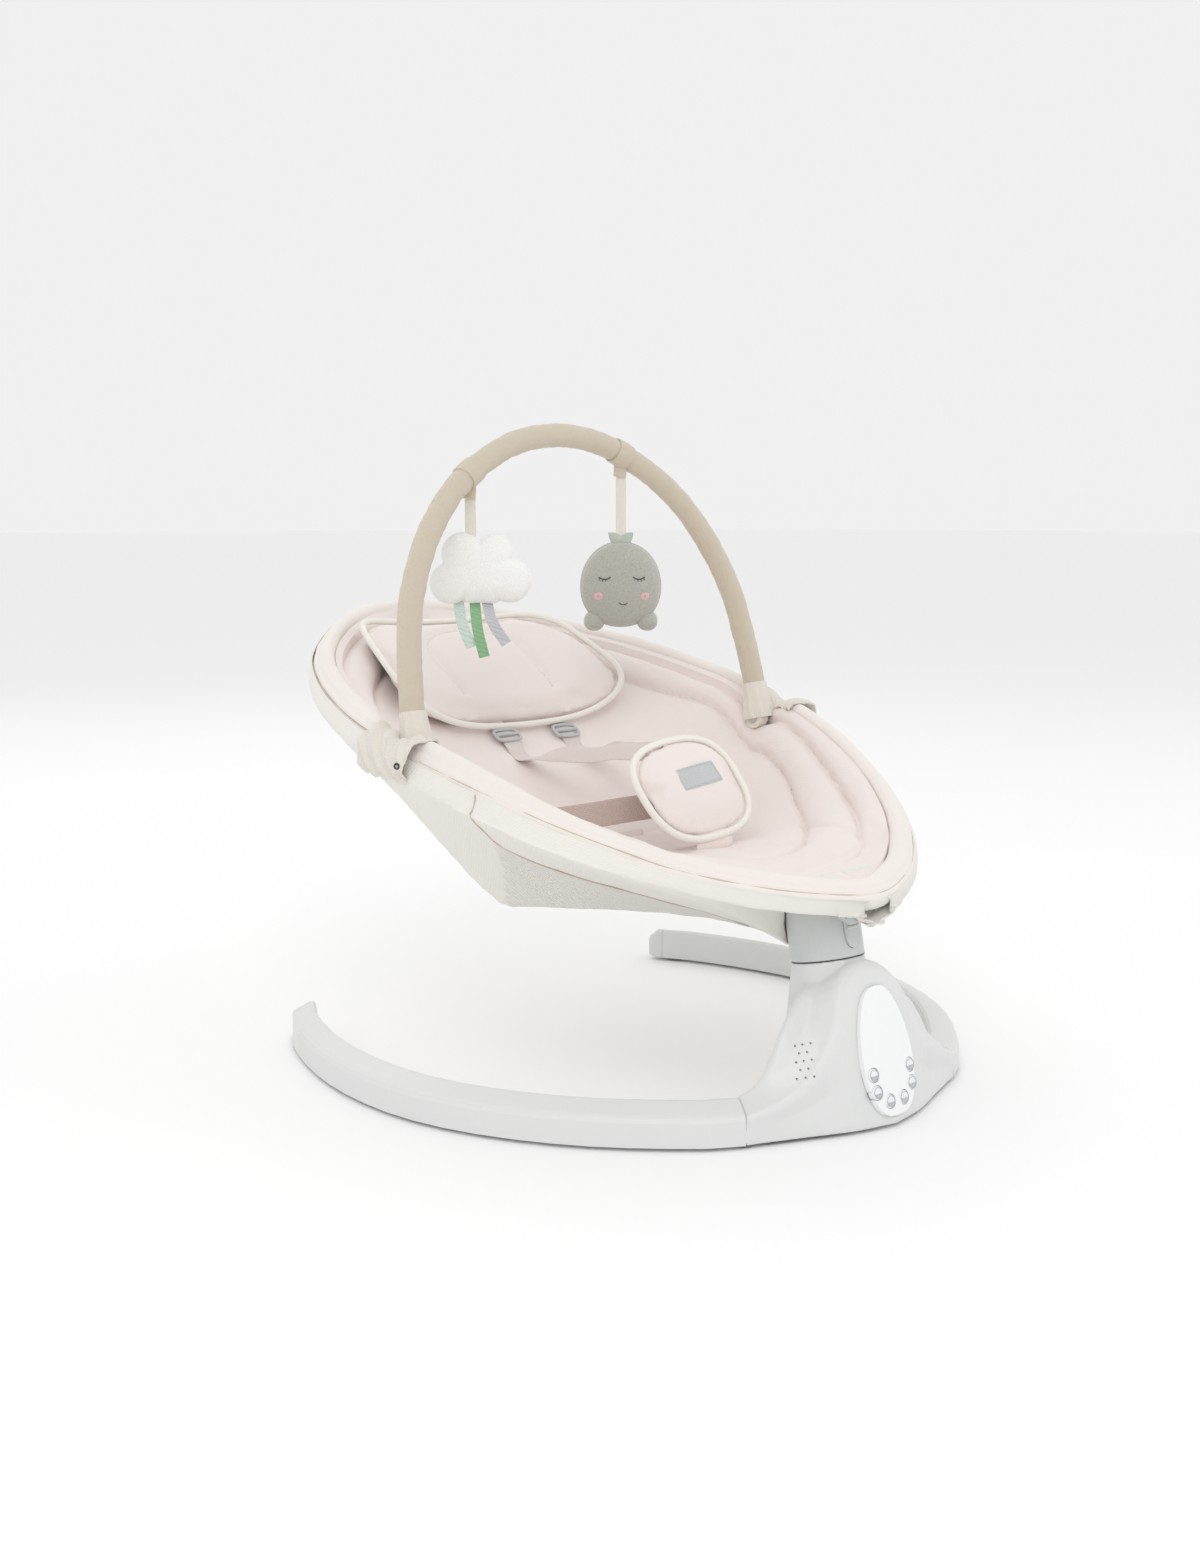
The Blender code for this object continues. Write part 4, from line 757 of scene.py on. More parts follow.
def make_roll():
    """The padded rim: a closed roll with a raised lip, a crease under it and a sewn seam on its outer side."""
    path = [Vector((p.x, p.y, rim_z(p.y))) for p in egg(300, TUBE_INSET)]
    rows = []
    seam_line = []
    for point, along in zip(path, tangents(path, True)):
        side = along.cross(Vector((0, 0, 1))).normalized()
        up = side.cross(along).normalized()
        seam = lookup(SEAM, point.y)
        crease = seam + (lip(point.y) - seam) * 0.50
        section = roll_section(point.y, 76)
        row = []
        for u, v, _ in section:
            direction = Vector((u + 0.002, v - lip(point.y) * 0.35, 0)).normalized()
            place = point + side * u + up * v
            lift = 0.0009 * wrinkle(Vector((place.x, place.y, place.z * 0.4)), 0.035, 1)
            lift += 0.0004 * wrinkle(place, 0.011, 2)
            if u > 0:
                lift -= 0.0011 * math.exp(-((v - seam) / 0.0018) ** 2)
                lift -= 0.0010 * math.exp(-((v - crease) / 0.0016) ** 2)
            row.append(place + side * direction.x * lift + up * direction.y * lift)
        rows.append(row)
        edge = [p for p in section if p.x > 0.002]
        for a, b in zip(edge, edge[1:]):
            if b.y <= seam <= a.y:
                reach = a.lerp(b, (a.y - seam) / max(a.y - b.y, 1e-6)).x
        seam_line.append(point + side * (reach - 0.0012) + up * seam)
    roll = put(grid("rim_roll", rows, wrap_rows=True, scale=(0.0062, 0.0015)), "swing", CREAM, "rim_pad")
    roll.data.materials.append(BLUSH_RIM)
    for face in roll.data.polygons:
        x, y, z = face.center
        height = z - rim_z(y)
        inside = abs(x) < read_half(LIP_HALF, y)
        if height > lookup(SEAM, y) or (inside and height > -0.006):
            face.material_index = 1
    put(tube("rim_seam", seam_line, 0.00045, 6, closed=True), "swing", SEAM_THREAD)


def bottom_z(y):
    """Height of the sling's underside along the middle of the seat."""
    if y > HIP.y:
        return min(HIP.z + BACK_SLOPE * (y - HIP.y), rim_z(y) - 0.0125)
    return lookup([(-0.336, 0.1640), (-0.322, 0.1675), (-0.311, 0.1705), (-0.304, 0.1830), (-0.262, 0.1840),
                   (-0.248, 0.1360), (-0.238, 0.1370), (-0.215, 0.1435), (-0.180, 0.1475), (-0.150, 0.1490),
                   (HIP.y, HIP.z)], y)


def bottom_half(y):
    """Half the width of the sling's flat bottom."""
    return lookup([(-0.300, 0.020), (-0.240, 0.030), (-0.150, 0.066), (HIP.y, HIP.x), (0.12, 0.160), (0.24, 0.130),
                   (0.34, 0.040)], y)


def panel_seam(share):
    """Where the side panel's seam runs along the seat, for a share of the wall from 0 at the rim to 1 at its foot."""
    return lookup([(0.0, -0.095), (0.15, -0.092), (0.30, -0.084), (0.42, -0.078), (0.50, -0.085), (0.60, -0.103),
                   (0.70, -0.128), (0.80, -0.158), (0.90, -0.190), (1.0, -0.222)], share)


def fold_line(share):
    """Where the fold from the seam's bend to the hip corner runs along the seat."""
    return -0.078 + (share - 0.42) / 0.58 * 0.052


def make_sling():
    """The outer sling: pulled straight from the rim's seam to the hip corners, with a ribbed lower panel."""
    stations = [0.0104 - 0.3404 * math.cos(math.pi * i / 220) for i in range(221)]
    rows = []
    for y in stations:
        seam_x = read_half(SEAM_HALF, y)
        wide = max(read_half(OUTER_HALF, y), seam_x + 0.0005)
        top = rim_z(y) + lookup(SEAM, y) - 0.0005
        low = bottom_z(y)
        flat = min(bottom_half(y), wide * 0.88)
        rise = min(0.010, (rim_z(y) - low) * 0.35)
        knots = [(seam_x, top), (wide, rim_z(y) + 0.001), (wide - 0.0035 * (wide - flat > 0.02), rim_z(y) - 0.0105),
                 (wide + (flat - wide) * 0.52, rim_z(y) + (low + rise - rim_z(y)) * 0.56),
                 (flat + 0.003, low + rise), (flat - 0.012, low + rise * 0.10), (flat * 0.5, low), (0.0, low)]
        half = even(spline([(x, z, 0.0) for x, z in knots], 10), 56)
        line = half + [Vector((-p.x, p.y, 0)) for p in reversed(half[:-1])]
        row = []
        for k, p in enumerate(line):
            part = min(k, len(line) - 1 - k) / 55
            share = min(max((top - p.y) / max(top - low, 1e-6), 0.0), 1.0)
            point = Vector((p.x, y, p.y))
            outward = Vector((p.x, 0, -0.10)).normalized()
            loose = smooth_step(part / 0.2)
            pull = wrinkle(Vector((y * 2.2, part * 0.25, 0)), 0.06, 3) * 0.0016 * loose
            fine = wrinkle(Vector((point.x, y, point.z)), 0.018, 4) * 0.0005
            seam = 0.0014 * math.exp(-((y - panel_seam(share)) / 0.0045) ** 2) * (0.02 < share < 0.99)
            if share > 0.44:
                seam -= 0.0022 * math.exp(-((y - fold_line(share)) / 0.0050) ** 2)
            point += outward * (pull + fine - seam)
            radial = point - (PIVOT + AXIS * (point - PIVOT).dot(AXIS))
            keep = COLLAR_RADIUS + 0.0014
            if radial.length < keep and point.z < 0.1805:
                point += radial.normalized() * (keep - radial.length)
            row.append(point)
        rows.append(row)
    sling = grid("seat_sling", rows, wrap_columns=False, scale=(0.0044, 0.004))
    solidify(sling, 0.0016, -1.0 if sling.data.polygons[0].normal.z > 0 else 1.0)
    put(sling, "swing", CREAM_TWILL, "sling")
    sling.data.materials.append(CREAM_RIB)
    for side, sign in SIDES:
        line = []
        for k in range(41):
            goal = 0.01 + 0.96 * k / 40
            y = panel_seam(goal)
            row = min(rows, key=lambda r: abs(r[0].y - y))
            top = rim_z(row[0].y) + lookup(SEAM, row[0].y)
            deep = top - bottom_z(row[0].y)
            for a, b in zip(row, row[1:]):
                if top - a.z <= goal * deep <= top - b.z:
                    spot = a.lerp(b, (goal * deep - top + a.z) / max(a.z - b.z, 1e-9))
                    line.append(Vector((sign * (abs(spot.x) + 0.0006), y, spot.z)))
                    break
        put(tube(f"panel_seam_{side}", even(spline(line[::2], 6), 110), 0.0006, 6), "swing", SEAM_THREAD)
    for face in sling.data.polygons:
        y = face.center.y
        top = rim_z(y) + lookup(SEAM, y)
        share = (top - face.center.z) / max(top - bottom_z(y), 1e-6)
        if share > 0.42 and panel_seam(min(share, 1.0)) < y < fold_line(min(share, 1.0)):
            face.material_index = 1


def seat_floor(y):
    """Height of the liner's top along the middle of the seat."""
    if y > 0.0:
        return lookup([(0.0, 0.186), (0.06, 0.228), (0.14, 0.280), (0.22, 0.330), (0.28, 0.362), (0.325, 0.380)], y)
    return lookup([(-0.306, 0.1925), (-0.27, 0.2010), (-0.22, 0.2030), (-0.15, 0.1980), (-0.09, 0.1900),
                   (-0.04, 0.1830), (0.0, 0.186)], y)


def seat_top(x, y):
    """Height of the liner's smooth surface at a place."""
    wide = max(inner_half(y), 0.003)
    part = min(abs(x) / wide, 1.0)
    edge = rim_z(y) + lip(y) - 0.0060
    return seat_floor(y) + (edge - seat_floor(y)) * (0.12 * part ** 2 + 0.88 * part ** 3.6)


SEAM_INNER = [(-90, 0.70), (-53, 0.73), (-34, 0.77), (-17, 0.84), (4, 0.88), (20, 0.905), (33, 0.88), (46, 0.86),
              (60, 0.85), (90, 0.84)]
SEAM_OUTER = [(-90, 0.90), (-65, 0.905), (-38, 0.915), (-13, 0.955), (6, 0.965), (54, 0.965), (90, 0.96)]


def make_insert():
    """The padded liner: sewn bands up its walls, a soft crease at the hips and puckers under the legs."""
    outline = egg(300, LIP_INSET)
    rings = 110
    shares = [0.02 + 0.98 * (i / rings) for i in range(rings + 1)]
    rows = []
    for share in shares:
        rows.append([Vector((p.x * share, p.y * share, seat_top(p.x * share, p.y * share))) for p in outline])
    base = [[q.copy() for q in row] for row in rows]
    count = len(outline)
    for j, p in enumerate(outline):
        angle = math.degrees(math.atan2(p.y, abs(p.x)))
        seams = (lookup(SEAM_INNER, angle), lookup(SEAM_OUTER, angle))
        for i, share in enumerate(shares):
            here = base[i][j]
            ahead = base[min(i + 1, rings)][j] - base[max(i - 1, 0)][j]
            beside = base[i][(j + 1) % count] - base[i][j - 1]
            normal = beside.cross(ahead).normalized()
            if normal.z < 0:
                normal = -normal
            foot = smooth_step((-0.195 - here.y) / 0.05)
            lift = 0.0
            bounds = (0.0, *seams, 1.0)
            for low, high in zip(bounds, bounds[1:]):
                if low <= share <= high:
                    s = (share - low) / (high - low)
                    edge = 1 - abs(2 * s - 1) ** 2.4 if low > 0 else 1 - s ** 8
                    lift += min(0.0075, (high - low) * 0.07 if low > 0 else 0.0045) * edge * (1 - foot)
            for seam in seams:
                lift -= 0.0040 * math.exp(-((share - seam) / 0.009) ** 2) * (1 - 0.7 * foot)
            if -0.262 < here.y < -0.140:
                across = lookup([(-0.262, 0.050), (-0.227, 0.098), (-0.181, 0.103), (-0.140, 0.113)], here.y)
                lift -= 0.0030 * math.exp(-((abs(here.x) - across) / 0.0030) ** 2)
            lift += foot * (0.0035 * wrinkle(Vector((here.x * 0.45, here.y * 1.6, 0)), 0.022, 5)
                            + 0.0015 * wrinkle(here, 0.012, 6))
            legs = smooth_step((-0.10 - here.y) / 0.05) * smooth_step((0.85 - share) / 0.2)
            lift += legs * 0.0022 * wrinkle(Vector((here.x * 1.4, here.y * 0.6, 0)), 0.022, 9)
            lift += 0.0014 * wrinkle(here, 0.045, 7) + 0.0005 * wrinkle(here, 0.014, 8)
            lift -= 0.004 * math.exp(-((here.y + 0.020) / 0.010) ** 2) * (1 - smooth_step((share - 0.5) / 0.3))
            rows[i][j] = here + normal * lift * smooth_step((1.0 - share) / 0.02)
    liner = grid("seat_insert", rows, scale=(0.004, 0.005))
    bm = bmesh.new()
    bm.from_mesh(liner.data)
    hole = [e for e in bm.edges if e.is_boundary and all(v.co.xy.length < 0.02 for v in e.verts)]
    bmesh.ops.holes_fill(bm, edges=hole)
    bmesh.ops.recalc_face_normals(bm, faces=bm.faces)
    bm.to_mesh(liner.data)
    bm.free()
    up = sum(f.normal.z for f in liner.data.polygons) > 0
    solidify(liner, 0.005, -1.0 if up else 1.0)
    put(liner, "swing", BLUSH, "seat_liner")


def superellipse(half_low, half_high, height, power, count):
    """A rounded outline that may be wider at one end, as (across, along)."""
    outline = []
    for k in range(count):
        angle = 2 * math.pi * k / count
        v = signed_power(math.cos(angle), power)
        u = signed_power(math.sin(angle), power)
        half = half_low + (half_high - half_low) * (v + 1) / 2
        outline.append((u * half, v * height / 2))
    return outline


def cushion_form(name, outline, thick, at):
    """A lens-shaped closed form over an outline; at() places (across, along, out)."""
    steps = [(0.15, 0.50), (0.45, 0.49), (0.70, 0.46), (0.86, 0.38), (0.95, 0.24), (1.0, 0.06),
             (1.0, -0.06), (0.95, -0.24), (0.86, -0.38), (0.70, -0.46), (0.45, -0.49), (0.15, -0.50)]
    rows = [[at(u * scale, v * scale, out * thick) for u, v in outline] for scale, out in steps]
    return grid(name, rows, caps=True)


def press_line(obj, points, depth, reach, direction):
    """Press a sewn line into a soft mesh along a row of points."""
    for vertex in obj.data.vertices:
        near = min((vertex.co - p).length_squared for p in points)
        if near < (3 * reach) ** 2:
            vertex.co -= direction * depth * math.exp(-near / reach ** 2)


def stitches(name, path, length, gap, radius, lift=Vector()):
    """A row of single stitches along a line, as one mesh."""
    total = sum((b - a).length for a, b in zip(path, path[1:]))
    count = max(int(total / (length + gap)), 2)
    points = even(path, count * 4 + 1)
    bm = bmesh.new()
    for k in range(count):
        a, b = points[4 * k], points[4 * k + 3]
        mid = (a + b) / 2 + lift * 1.4
        ends = [a + lift * 0.5, a.lerp(mid, 0.6), mid, b.lerp(mid, 0.6), b + lift * 0.5]
        rings = [circle(p, (b - a).normalized(), radius * s, 6) for p, s in zip(ends, (0.4, 0.9, 1.0, 0.9, 0.4))]
        rows = [[bm.verts.new(q) for q in ring] for ring in rings]
        for low, high in zip(rows, rows[1:]):
            for j in range(6):
                bm.faces.new((low[j], low[(j + 1) % 6], high[(j + 1) % 6], high[j]))
        bm.faces.new(rows[0])
        bm.faces.new(rows[-1])
    bmesh.ops.recalc_face_normals(bm, faces=bm.faces)
    return finish_mesh(name, bm)


def make_pillow():
    """The head pillow: a wide stuffed pad with piped edges and an inverted-U stitch line."""
    centre = Vector((0, 0.203, 0)) + Vector((0, 0, seat_floor(0.203) + 0.016))

    def at(u, v, w):
        """Place a point of the pillow; its sides curl up with the liner."""
        curl = 0.030 * (abs(u) / 0.14) ** 2.6
        return centre + Vector((u * (1 - 0.03 * abs(u) / 0.14), 0, 0)) + BACK_UP * v + BACK_OUT * (w + curl)

    outline = superellipse(*PILLOW_FORM, 64)
    pillow = cushion_form("pillow", [(u * 0.985, v * 0.98) for u, v in outline], 0.018, at)
    inflate(pillow, 0.0045, 0.006)
    arch = [(-0.055, -0.050), (-0.058, 0.0), (-0.052, 0.030), (-0.030, 0.050), (0.0, 0.056), (0.030, 0.050),
            (0.052, 0.030), (0.058, 0.0), (0.055, -0.050)]
    line = even(spline([at(u, v, 0.011) for u, v in arch], 8), 90)
    line = [pillow.closest_point_on_mesh(p + BACK_OUT * 0.02)[1] for p in line]
    press_line(pillow, line, 0.0040, 0.0045, BACK_OUT)
    put(pillow, "swing", BLUSH, "head_pillow")
    sewn = [p - BACK_OUT * 0.0037 for p in line]
    put(stitches("pillow_stitches", sewn, 0.0030, 0.0012, 0.00045, BACK_OUT * 0.0002), "swing", THREAD)
    edge = [at(u * 0.995, v * 0.995, 0.0) for u, v in superellipse(*PILLOW_FORM, 140)]
    piping = tube("pillow_piping", edge, 0.0032, 10, closed=True)
    put(piping, "swing", PIPING)


def make_crotch_pad():
    """The crotch pad: a rounded stuffed pad with wide piping, a blank sewn label and gathers at its lower edge."""
    centre = PAD_CENTRE - PAD_OUT * 0.004
    turn = math.radians(7)

    def at(u, v, w):
        """Place a point of the pad, turned a little in its own plane."""
        a = u * math.cos(turn) - v * math.sin(turn)
        b = u * math.sin(turn) + v * math.cos(turn)
        return centre + Vector((a, 0, 0)) + PAD_UP * b + PAD_OUT * w

    outline = superellipse(0.0600, 0.0635, 0.0995, 0.74, 64)
    pad = cushion_form("pad", [(u * 0.94, v * 0.94) for u, v in outline], 0.013, at)
    inflate(pad, 0.0030, 0.005)
    for k in range(7):
        u = -0.030 + 0.010 * k
        gather = [at(u, -0.043 + 0.0035 * t, 0.006) for t in range(5)]
        press_line(pad, gather, 0.0014, 0.0016, PAD_OUT)
    put(pad, "swing", BLUSH, "crotch_pad")
    piping = tube("pad_piping", [at(u, v, 0.0) for u, v in outline], 0.0034, 10, closed=True)
    put(piping, "swing", PIPING)
    make_label(at)


def make_label(at):
    """A blank label with dashed stitching round its edge."""
    half_w, half_h = 0.0255, 0.0108
    rows = []
    for i in range(13):
        row = []
        for j in range(7):
            u = 0.004 - half_w + 2 * half_w * i / 12
            v = 0.006 - half_h + 2 * half_h * j / 6
            crown = 0.0118 - 1.6 * (u * u + v * v)
            row.append(at(u, v, crown))
        rows.append(row)
    label = grid("pad_label", rows, wrap_columns=False)
    solidify(label, 0.0008, 0.0)
    put(label, "swing", LABEL)
    frame_line = []
    for u, v in ((-1, -1), (1, -1), (1, 1), (-1, 1), (-1, -1)):
        frame_line.append((0.004 + u * (half_w - 0.0016), 0.006 + v * (half_h - 0.0016)))
    path = []
    for (ua, va), (ub, vb) in zip(frame_line, frame_line[1:]):
        for t in range(8):
            u = ua + (ub - ua) * t / 8
            v = va + (vb - va) * t / 8
            path.append(at(u, v, 0.0124 - 1.6 * (u * u + v * v)))
    path.append(path[0])
    put(stitches("label_stitches", path, 0.0014, 0.0008, 0.00022, PAD_OUT * 0.0001), "swing", GREY_LINE_AND_SHADE)


def make_harness():
    """Shoulder straps with sliders, the waist belt and the fold under the crotch pad."""
    for side, sign in SIDES:
        high = [(sign * 0.037 + 0.008, y, seat_floor(y) + 0.0095) for y in (0.160, 0.138, 0.116, 0.094)]
        knots = [Vector(k) for k in (*high, (sign * 0.034 + 0.006, 0.050, 0.2680), (sign * 0.026, 0.005, 0.2720),
                                     (sign * 0.014 - 0.014, -0.045, 0.2800), (sign * 0.008 - 0.022, -0.086, 0.2840))]
        path = even(spline(knots, 10), 60)
        path = [p + Vector((0, 0, 0.0012 * wrinkle(p, 0.02, 11 + sign))) for p in path]
        turns = []
        for p in path:
            roll = math.radians(4 + 44 * smooth_step((0.085 - p.y) / 0.05))
            turns.append(Vector((math.cos(roll), 0, math.sin(roll))))
        strap = ribbon(f"harness_strap_{side}", path, 0.0185, 0.0020, turns)
        put(strap, "swing", BLUSH_WEB, f"shoulder_strap_{side}")
        spot = min(range(len(path)), key=lambda k: abs(path[k].y - 0.121))
        make_slider(side, path[spot], (path[spot + 1] - path[spot - 1]).normalized())
    belt = [Vector(p) for p in ((-0.128, -0.018, 0.222), (-0.100, -0.036, 0.2230), (-0.070, -0.050, 0.2260),
                                (-0.035, -0.060, 0.2290), (0.0, -0.0640, 0.2300), (0.035, -0.060, 0.2290),
                                (0.070, -0.050, 0.2260), (0.100, -0.036, 0.2230), (0.128, -0.018, 0.222))]
    path = even(spline(belt, 8), 60)
    put(ribbon("belt", path, 0.0250, 0.0024, Vector((0, 0.55, 0.83)), bow=0.0008), "swing", MAUVE, "waist_belt")
    low = PAD_CENTRE - PAD_OUT * 0.007 - PAD_UP * 0.034
    fold = [low, low - PAD_UP * 0.016, low - PAD_UP * 0.024 - PAD_OUT * 0.006, low - PAD_UP * 0.022 - PAD_OUT * 0.018,
            low - PAD_UP * 0.010 - PAD_OUT * 0.028]
    strap = ribbon("pad_fold", even(spline(fold, 8), 30), 0.044, 0.0040, Vector((1, 0, 0)), bow=0.001)
    put(strap, "swing", BLUSH, "crotch_strap")


def make_slider(side, place, along):
    """A moulded three-bar slider on a strap."""
    across = Vector((1, 0, 0))
    out = along.cross(across).normalized()
    if out.z < 0:
        out = -out
    loop = []
    for k in range(40):
        angle = 2 * math.pi * k / 40
        u = 0.0140 * signed_power(math.cos(angle), 0.5)
        v = 0.0085 * signed_power(math.sin(angle), 0.5)
        loop.append(place + across * u + along * v + out * 0.0022)
    ring = tube(f"slider_ring_{side}", loop, 0.0017, 10, closed=True)
    put(ring, "swing", SLIDER, f"strap_slider_{side}")
    bar = [place + across * (-0.0135 + 0.0027 * k) + out * 0.0028 for k in range(11)]
    put(tube(f"slider_bar_{side}", bar, 0.0020, 10), "swing", SLIDER)


# Toy bar -------------------------------------------------------------------------------------------

def bar_point(x, z):
    """A point on the toy bar's leaning plane."""
    return Vector((x, BAR_PIVOT.y + BAR_LEAN * (z - BAR_PIVOT.z), z))


def bar_path(count):
    """The arch from the left end to the right end."""
    half = [bar_point(x, z) for x, z in BAR_ARCH]
    knots = [mirrored(p) for p in half] + [p for p in reversed(half[:-1])]
    return even(spline(knots, 8), count)


def make_bar():
    """The toy bar's cloth tube, gathered a little at its ends, and its seam."""
    path = bar_path(260)
    rows = []
    for i, (point, along) in enumerate(zip(path, tangents(path))):
        ring = circle(point, along, 1.0, 28, up=Vector((0, -1, 0)))
        row = []
        for k, q in enumerate(ring):
            direction = q - point
            place = point + direction * BAR_RADIUS
            radius = BAR_RADIUS - 0.0002 + 0.0006 * wrinkle(place * math.sqrt(3), 0.02, 21)
            radius += 0.0003 * wrinkle(place, 0.006, 22)
            end = min(i, len(path) - 1 - i)
            radius *= 0.90 + 0.10 * smooth_step(end / 4)
            inner = max(0.0, direction.dot((Vector((0, 0.04, 0.38)) - point).normalized()))
            radius -= 0.0014 * inner * max(0.0, wrinkle(Vector((i * 0.0042, k * 0.0006, 0)), 0.008, 23))
            radius -= 0.0008 if k == 14 else 0.0
            row.append(point + direction * radius)
        rows.append(row)
    put(grid("bar_cloth", rows, caps=True), "toy_bar", CANVAS, "toy_bar_cover", "toy_bar_core")


def make_bar_loop(side, x):
    """The cloth loop that a toy hangs from: a snug band with a short folded tab under the bar."""
    path = bar_path(260)
    i = min(range(len(path)), key=lambda k: abs(path[k].x - x))
    span = path[i - 3:i + 4]
    rows = []
    for step, (point, along) in enumerate(zip(span, tangents(span))):
        swell = 0.0010 + 0.0004 * math.sin(math.pi * step / 6)
        rows.append(circle(point, along, BAR_RADIUS + swell, 32, up=Vector((0, -1, 0))))
    loop = grid(f"toy_loop_{side}", rows)
    solidify(loop, 0.0012, -1.0)
    put(loop, "toy_bar", CANVAS, f"bar_loop_{side}")
    turn = TOY_ROLL @ Vector((1, 0, 0))
    top = path[i] - Vector((0, 0, BAR_RADIUS - 0.001))
    drop = [top, top - Vector((0, 0, 0.006)), top - Vector((0.0006, 0, 0.012))]
    put(ribbon(f"loop_tab_{side}", even(drop, 8), 0.0125, 0.0036, turn, bow=0.0006), "toy_bar", CANVAS)


def make_wraps():
    """Gathered cloth that holds the bar's ends to the rim: a pleated flap over the rim and a cuff round the bar."""
    for side, sign in SIDES:
        path = [Vector((p.x, p.y, rim_z(p.y))) for p in egg(480, TUBE_INSET)
                if p.x * sign > 0.1 and -0.024 <= p.y <= 0.040]
        path.sort(key=lambda p: p.y)
        path = even(path, 44)
        rows = []
        for i, (point, along) in enumerate(zip(path, tangents(path))):
            outside = Vector((sign, 0, 0))
            outside = (outside - along * outside.dot(along)).normalized()
            up = Vector((0, -RIM_SLOPE, 1)).normalized()
            row = []
            reach = 112 + 40 * smooth_step(i / 43)
            for k in range(45):
                angle = math.radians(-36 + (reach + 36) * k / 44)
                direction = math.cos(angle) * up + math.sin(angle) * outside
                place = point + direction * 0.0175
                pleat = math.sin((i * 0.26 + k * 0.20) * 2.1)
                radius = 0.0162 + 0.0020 * pleat * abs(pleat) + 0.0012 * wrinkle(place, 0.012, 31)
                radius += 0.0030 * smooth_step(i / 43) * smooth_step(k / 44)
                radius += max(0.0, math.cos(angle)) * max(lip(point.y) - 0.0140, 0.0)
                row.append(point + direction * radius)
            rows.append(row)
        wrap = grid(f"bar_tab_{side}", rows, wrap_columns=False)
        solidify(wrap, 0.0018, 0.0)
        put(wrap, "swing", CANVAS_LIGHT, f"bar_wrap_{side}")
        spot = rows[3][30]
        eyelet = circle(spot + Vector((sign * 0.0012, 0, 0)), Vector((sign, -0.5, 0)).normalized(), 0.0021, 20)
        put(tube(f"eyelet_{side}", eyelet, 0.0009, 8, closed=True), "swing", BLACK_AND_SHADE)
        make_cuff(side, sign)


def make_cuff(side, sign):
    """The gathered cuff between the rim and the bar's end."""
    low = Vector((sign * 0.2135, 0.011, 0.2890))
    high = bar_point(sign * 0.2125, 0.325)
    rows = []
    steps = 22
    for i in range(steps + 1):
        t = i / steps
        centre = low.lerp(high, t)
        swell = 0.0158 - 0.0034 * smooth_step(t / 0.85)
        ring = circle(centre, (high - low).normalized(), 1.0, 48, up=Vector((0, -1, 0)))
        row = []
        for k, q in enumerate(ring):
            direction = q - centre
            fold = math.sin(2 * math.pi * k / 48 * 9 + 2.2 * t + sign)
            radius = swell + 0.0009 * fold * (1 - t) ** 0.5 + 0.0007 * wrinkle(centre + direction * 0.015, 0.012, 33)
            row.append(centre + direction * radius)
        rows.append(row)
    cuff = grid(f"bar_cuff_{side}", rows)
    solidify(cuff, 0.0010, -1.0)
    cuff.data.materials.clear()
    cuff.data.materials.append(CANVAS_LIGHT)
    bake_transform(cuff)


# Toys ----------------------------------------------------------------------------------------------

def toy_frame(node):
    """The hinge of a hanging toy, read from the model's joints."""
    for joint in frame["record"]["behaviour"]["joints"]:
        if joint["child"] == node:
            return Vector(joint["pos_m"])
    raise ValueError(node)


def toy_at(hinge):
    """A placing function for (across, out, up) measured from a toy's hinge."""
    return lambda x, y, z: hinge + TOY_ROLL @ Vector((x, y, z))


def make_tape(body, at, drop, tail, count):
    """The flat strap that a toy hangs from."""
    strap = [at(0.0, 0.0, 0.004), at(0, 0.0005, -drop * 0.5), at(0, 0, -drop - tail)]
    line = even(spline(strap, 8), count)
    tape = ribbon(f"{body}_tape", line, TAPE_WIDTH, 0.0018, TOY_ROLL @ Vector((1, 0, 0)))
    put(tape, body, CANVAS_LIGHT, f"{body}_strap")


def stuffed(name, outline, thick, at, middle, seam=0.06):
    """A stuffed shape from an outline: two domes that meet in a sewn edge."""
    rows = []
    steps = 16
    for side in (-1, 1):
        order = range(1, steps + 1) if side < 0 else range(steps - 1, 0, -1)
        for i in order:
            share = math.sin(0.5 * math.pi * i / steps)
            dome = (1 - share ** 2.3) ** 0.5 if share < 1 else 0.0
            pinch = 1.0 - seam * math.exp(-((1 - share) / 0.03) ** 2) * (1 if share < 1 else 0)
            row = []
            for u, v in outline:
                y = side * thick * dome
                row.append(at(middle[0] + u * share * pinch, y, middle[1] + v * share * pinch))
            rows.append(row)
    return grid(name, rows, caps=True)


def cloud_outline():
    """The cloud's edge: the outermost of five round lobes in every direction."""
    lobes = ((0.001, -0.005, 0.0270), (-0.0270, -0.010, 0.0190), (0.0270, -0.0075, 0.0205), (-0.0150, 0.0165, 0.0200),
             (0.0140, 0.0190, 0.0165))
    outline = []
    for k in range(120):
        angle = 2 * math.pi * k / 120
        ray = Vector((math.cos(angle), math.sin(angle)))
        reach = 0.0
        for x, z, radius in lobes:
            along = ray.x * x + ray.y * z
            miss = radius ** 2 - (x * x + z * z - along ** 2)
            if miss > 0:
                reach = max(reach, along + math.sqrt(miss))
        outline.append((ray.x * reach, max(ray.y * reach, -0.0285 + 0.0006 * math.cos(4 * angle))))
    return outline


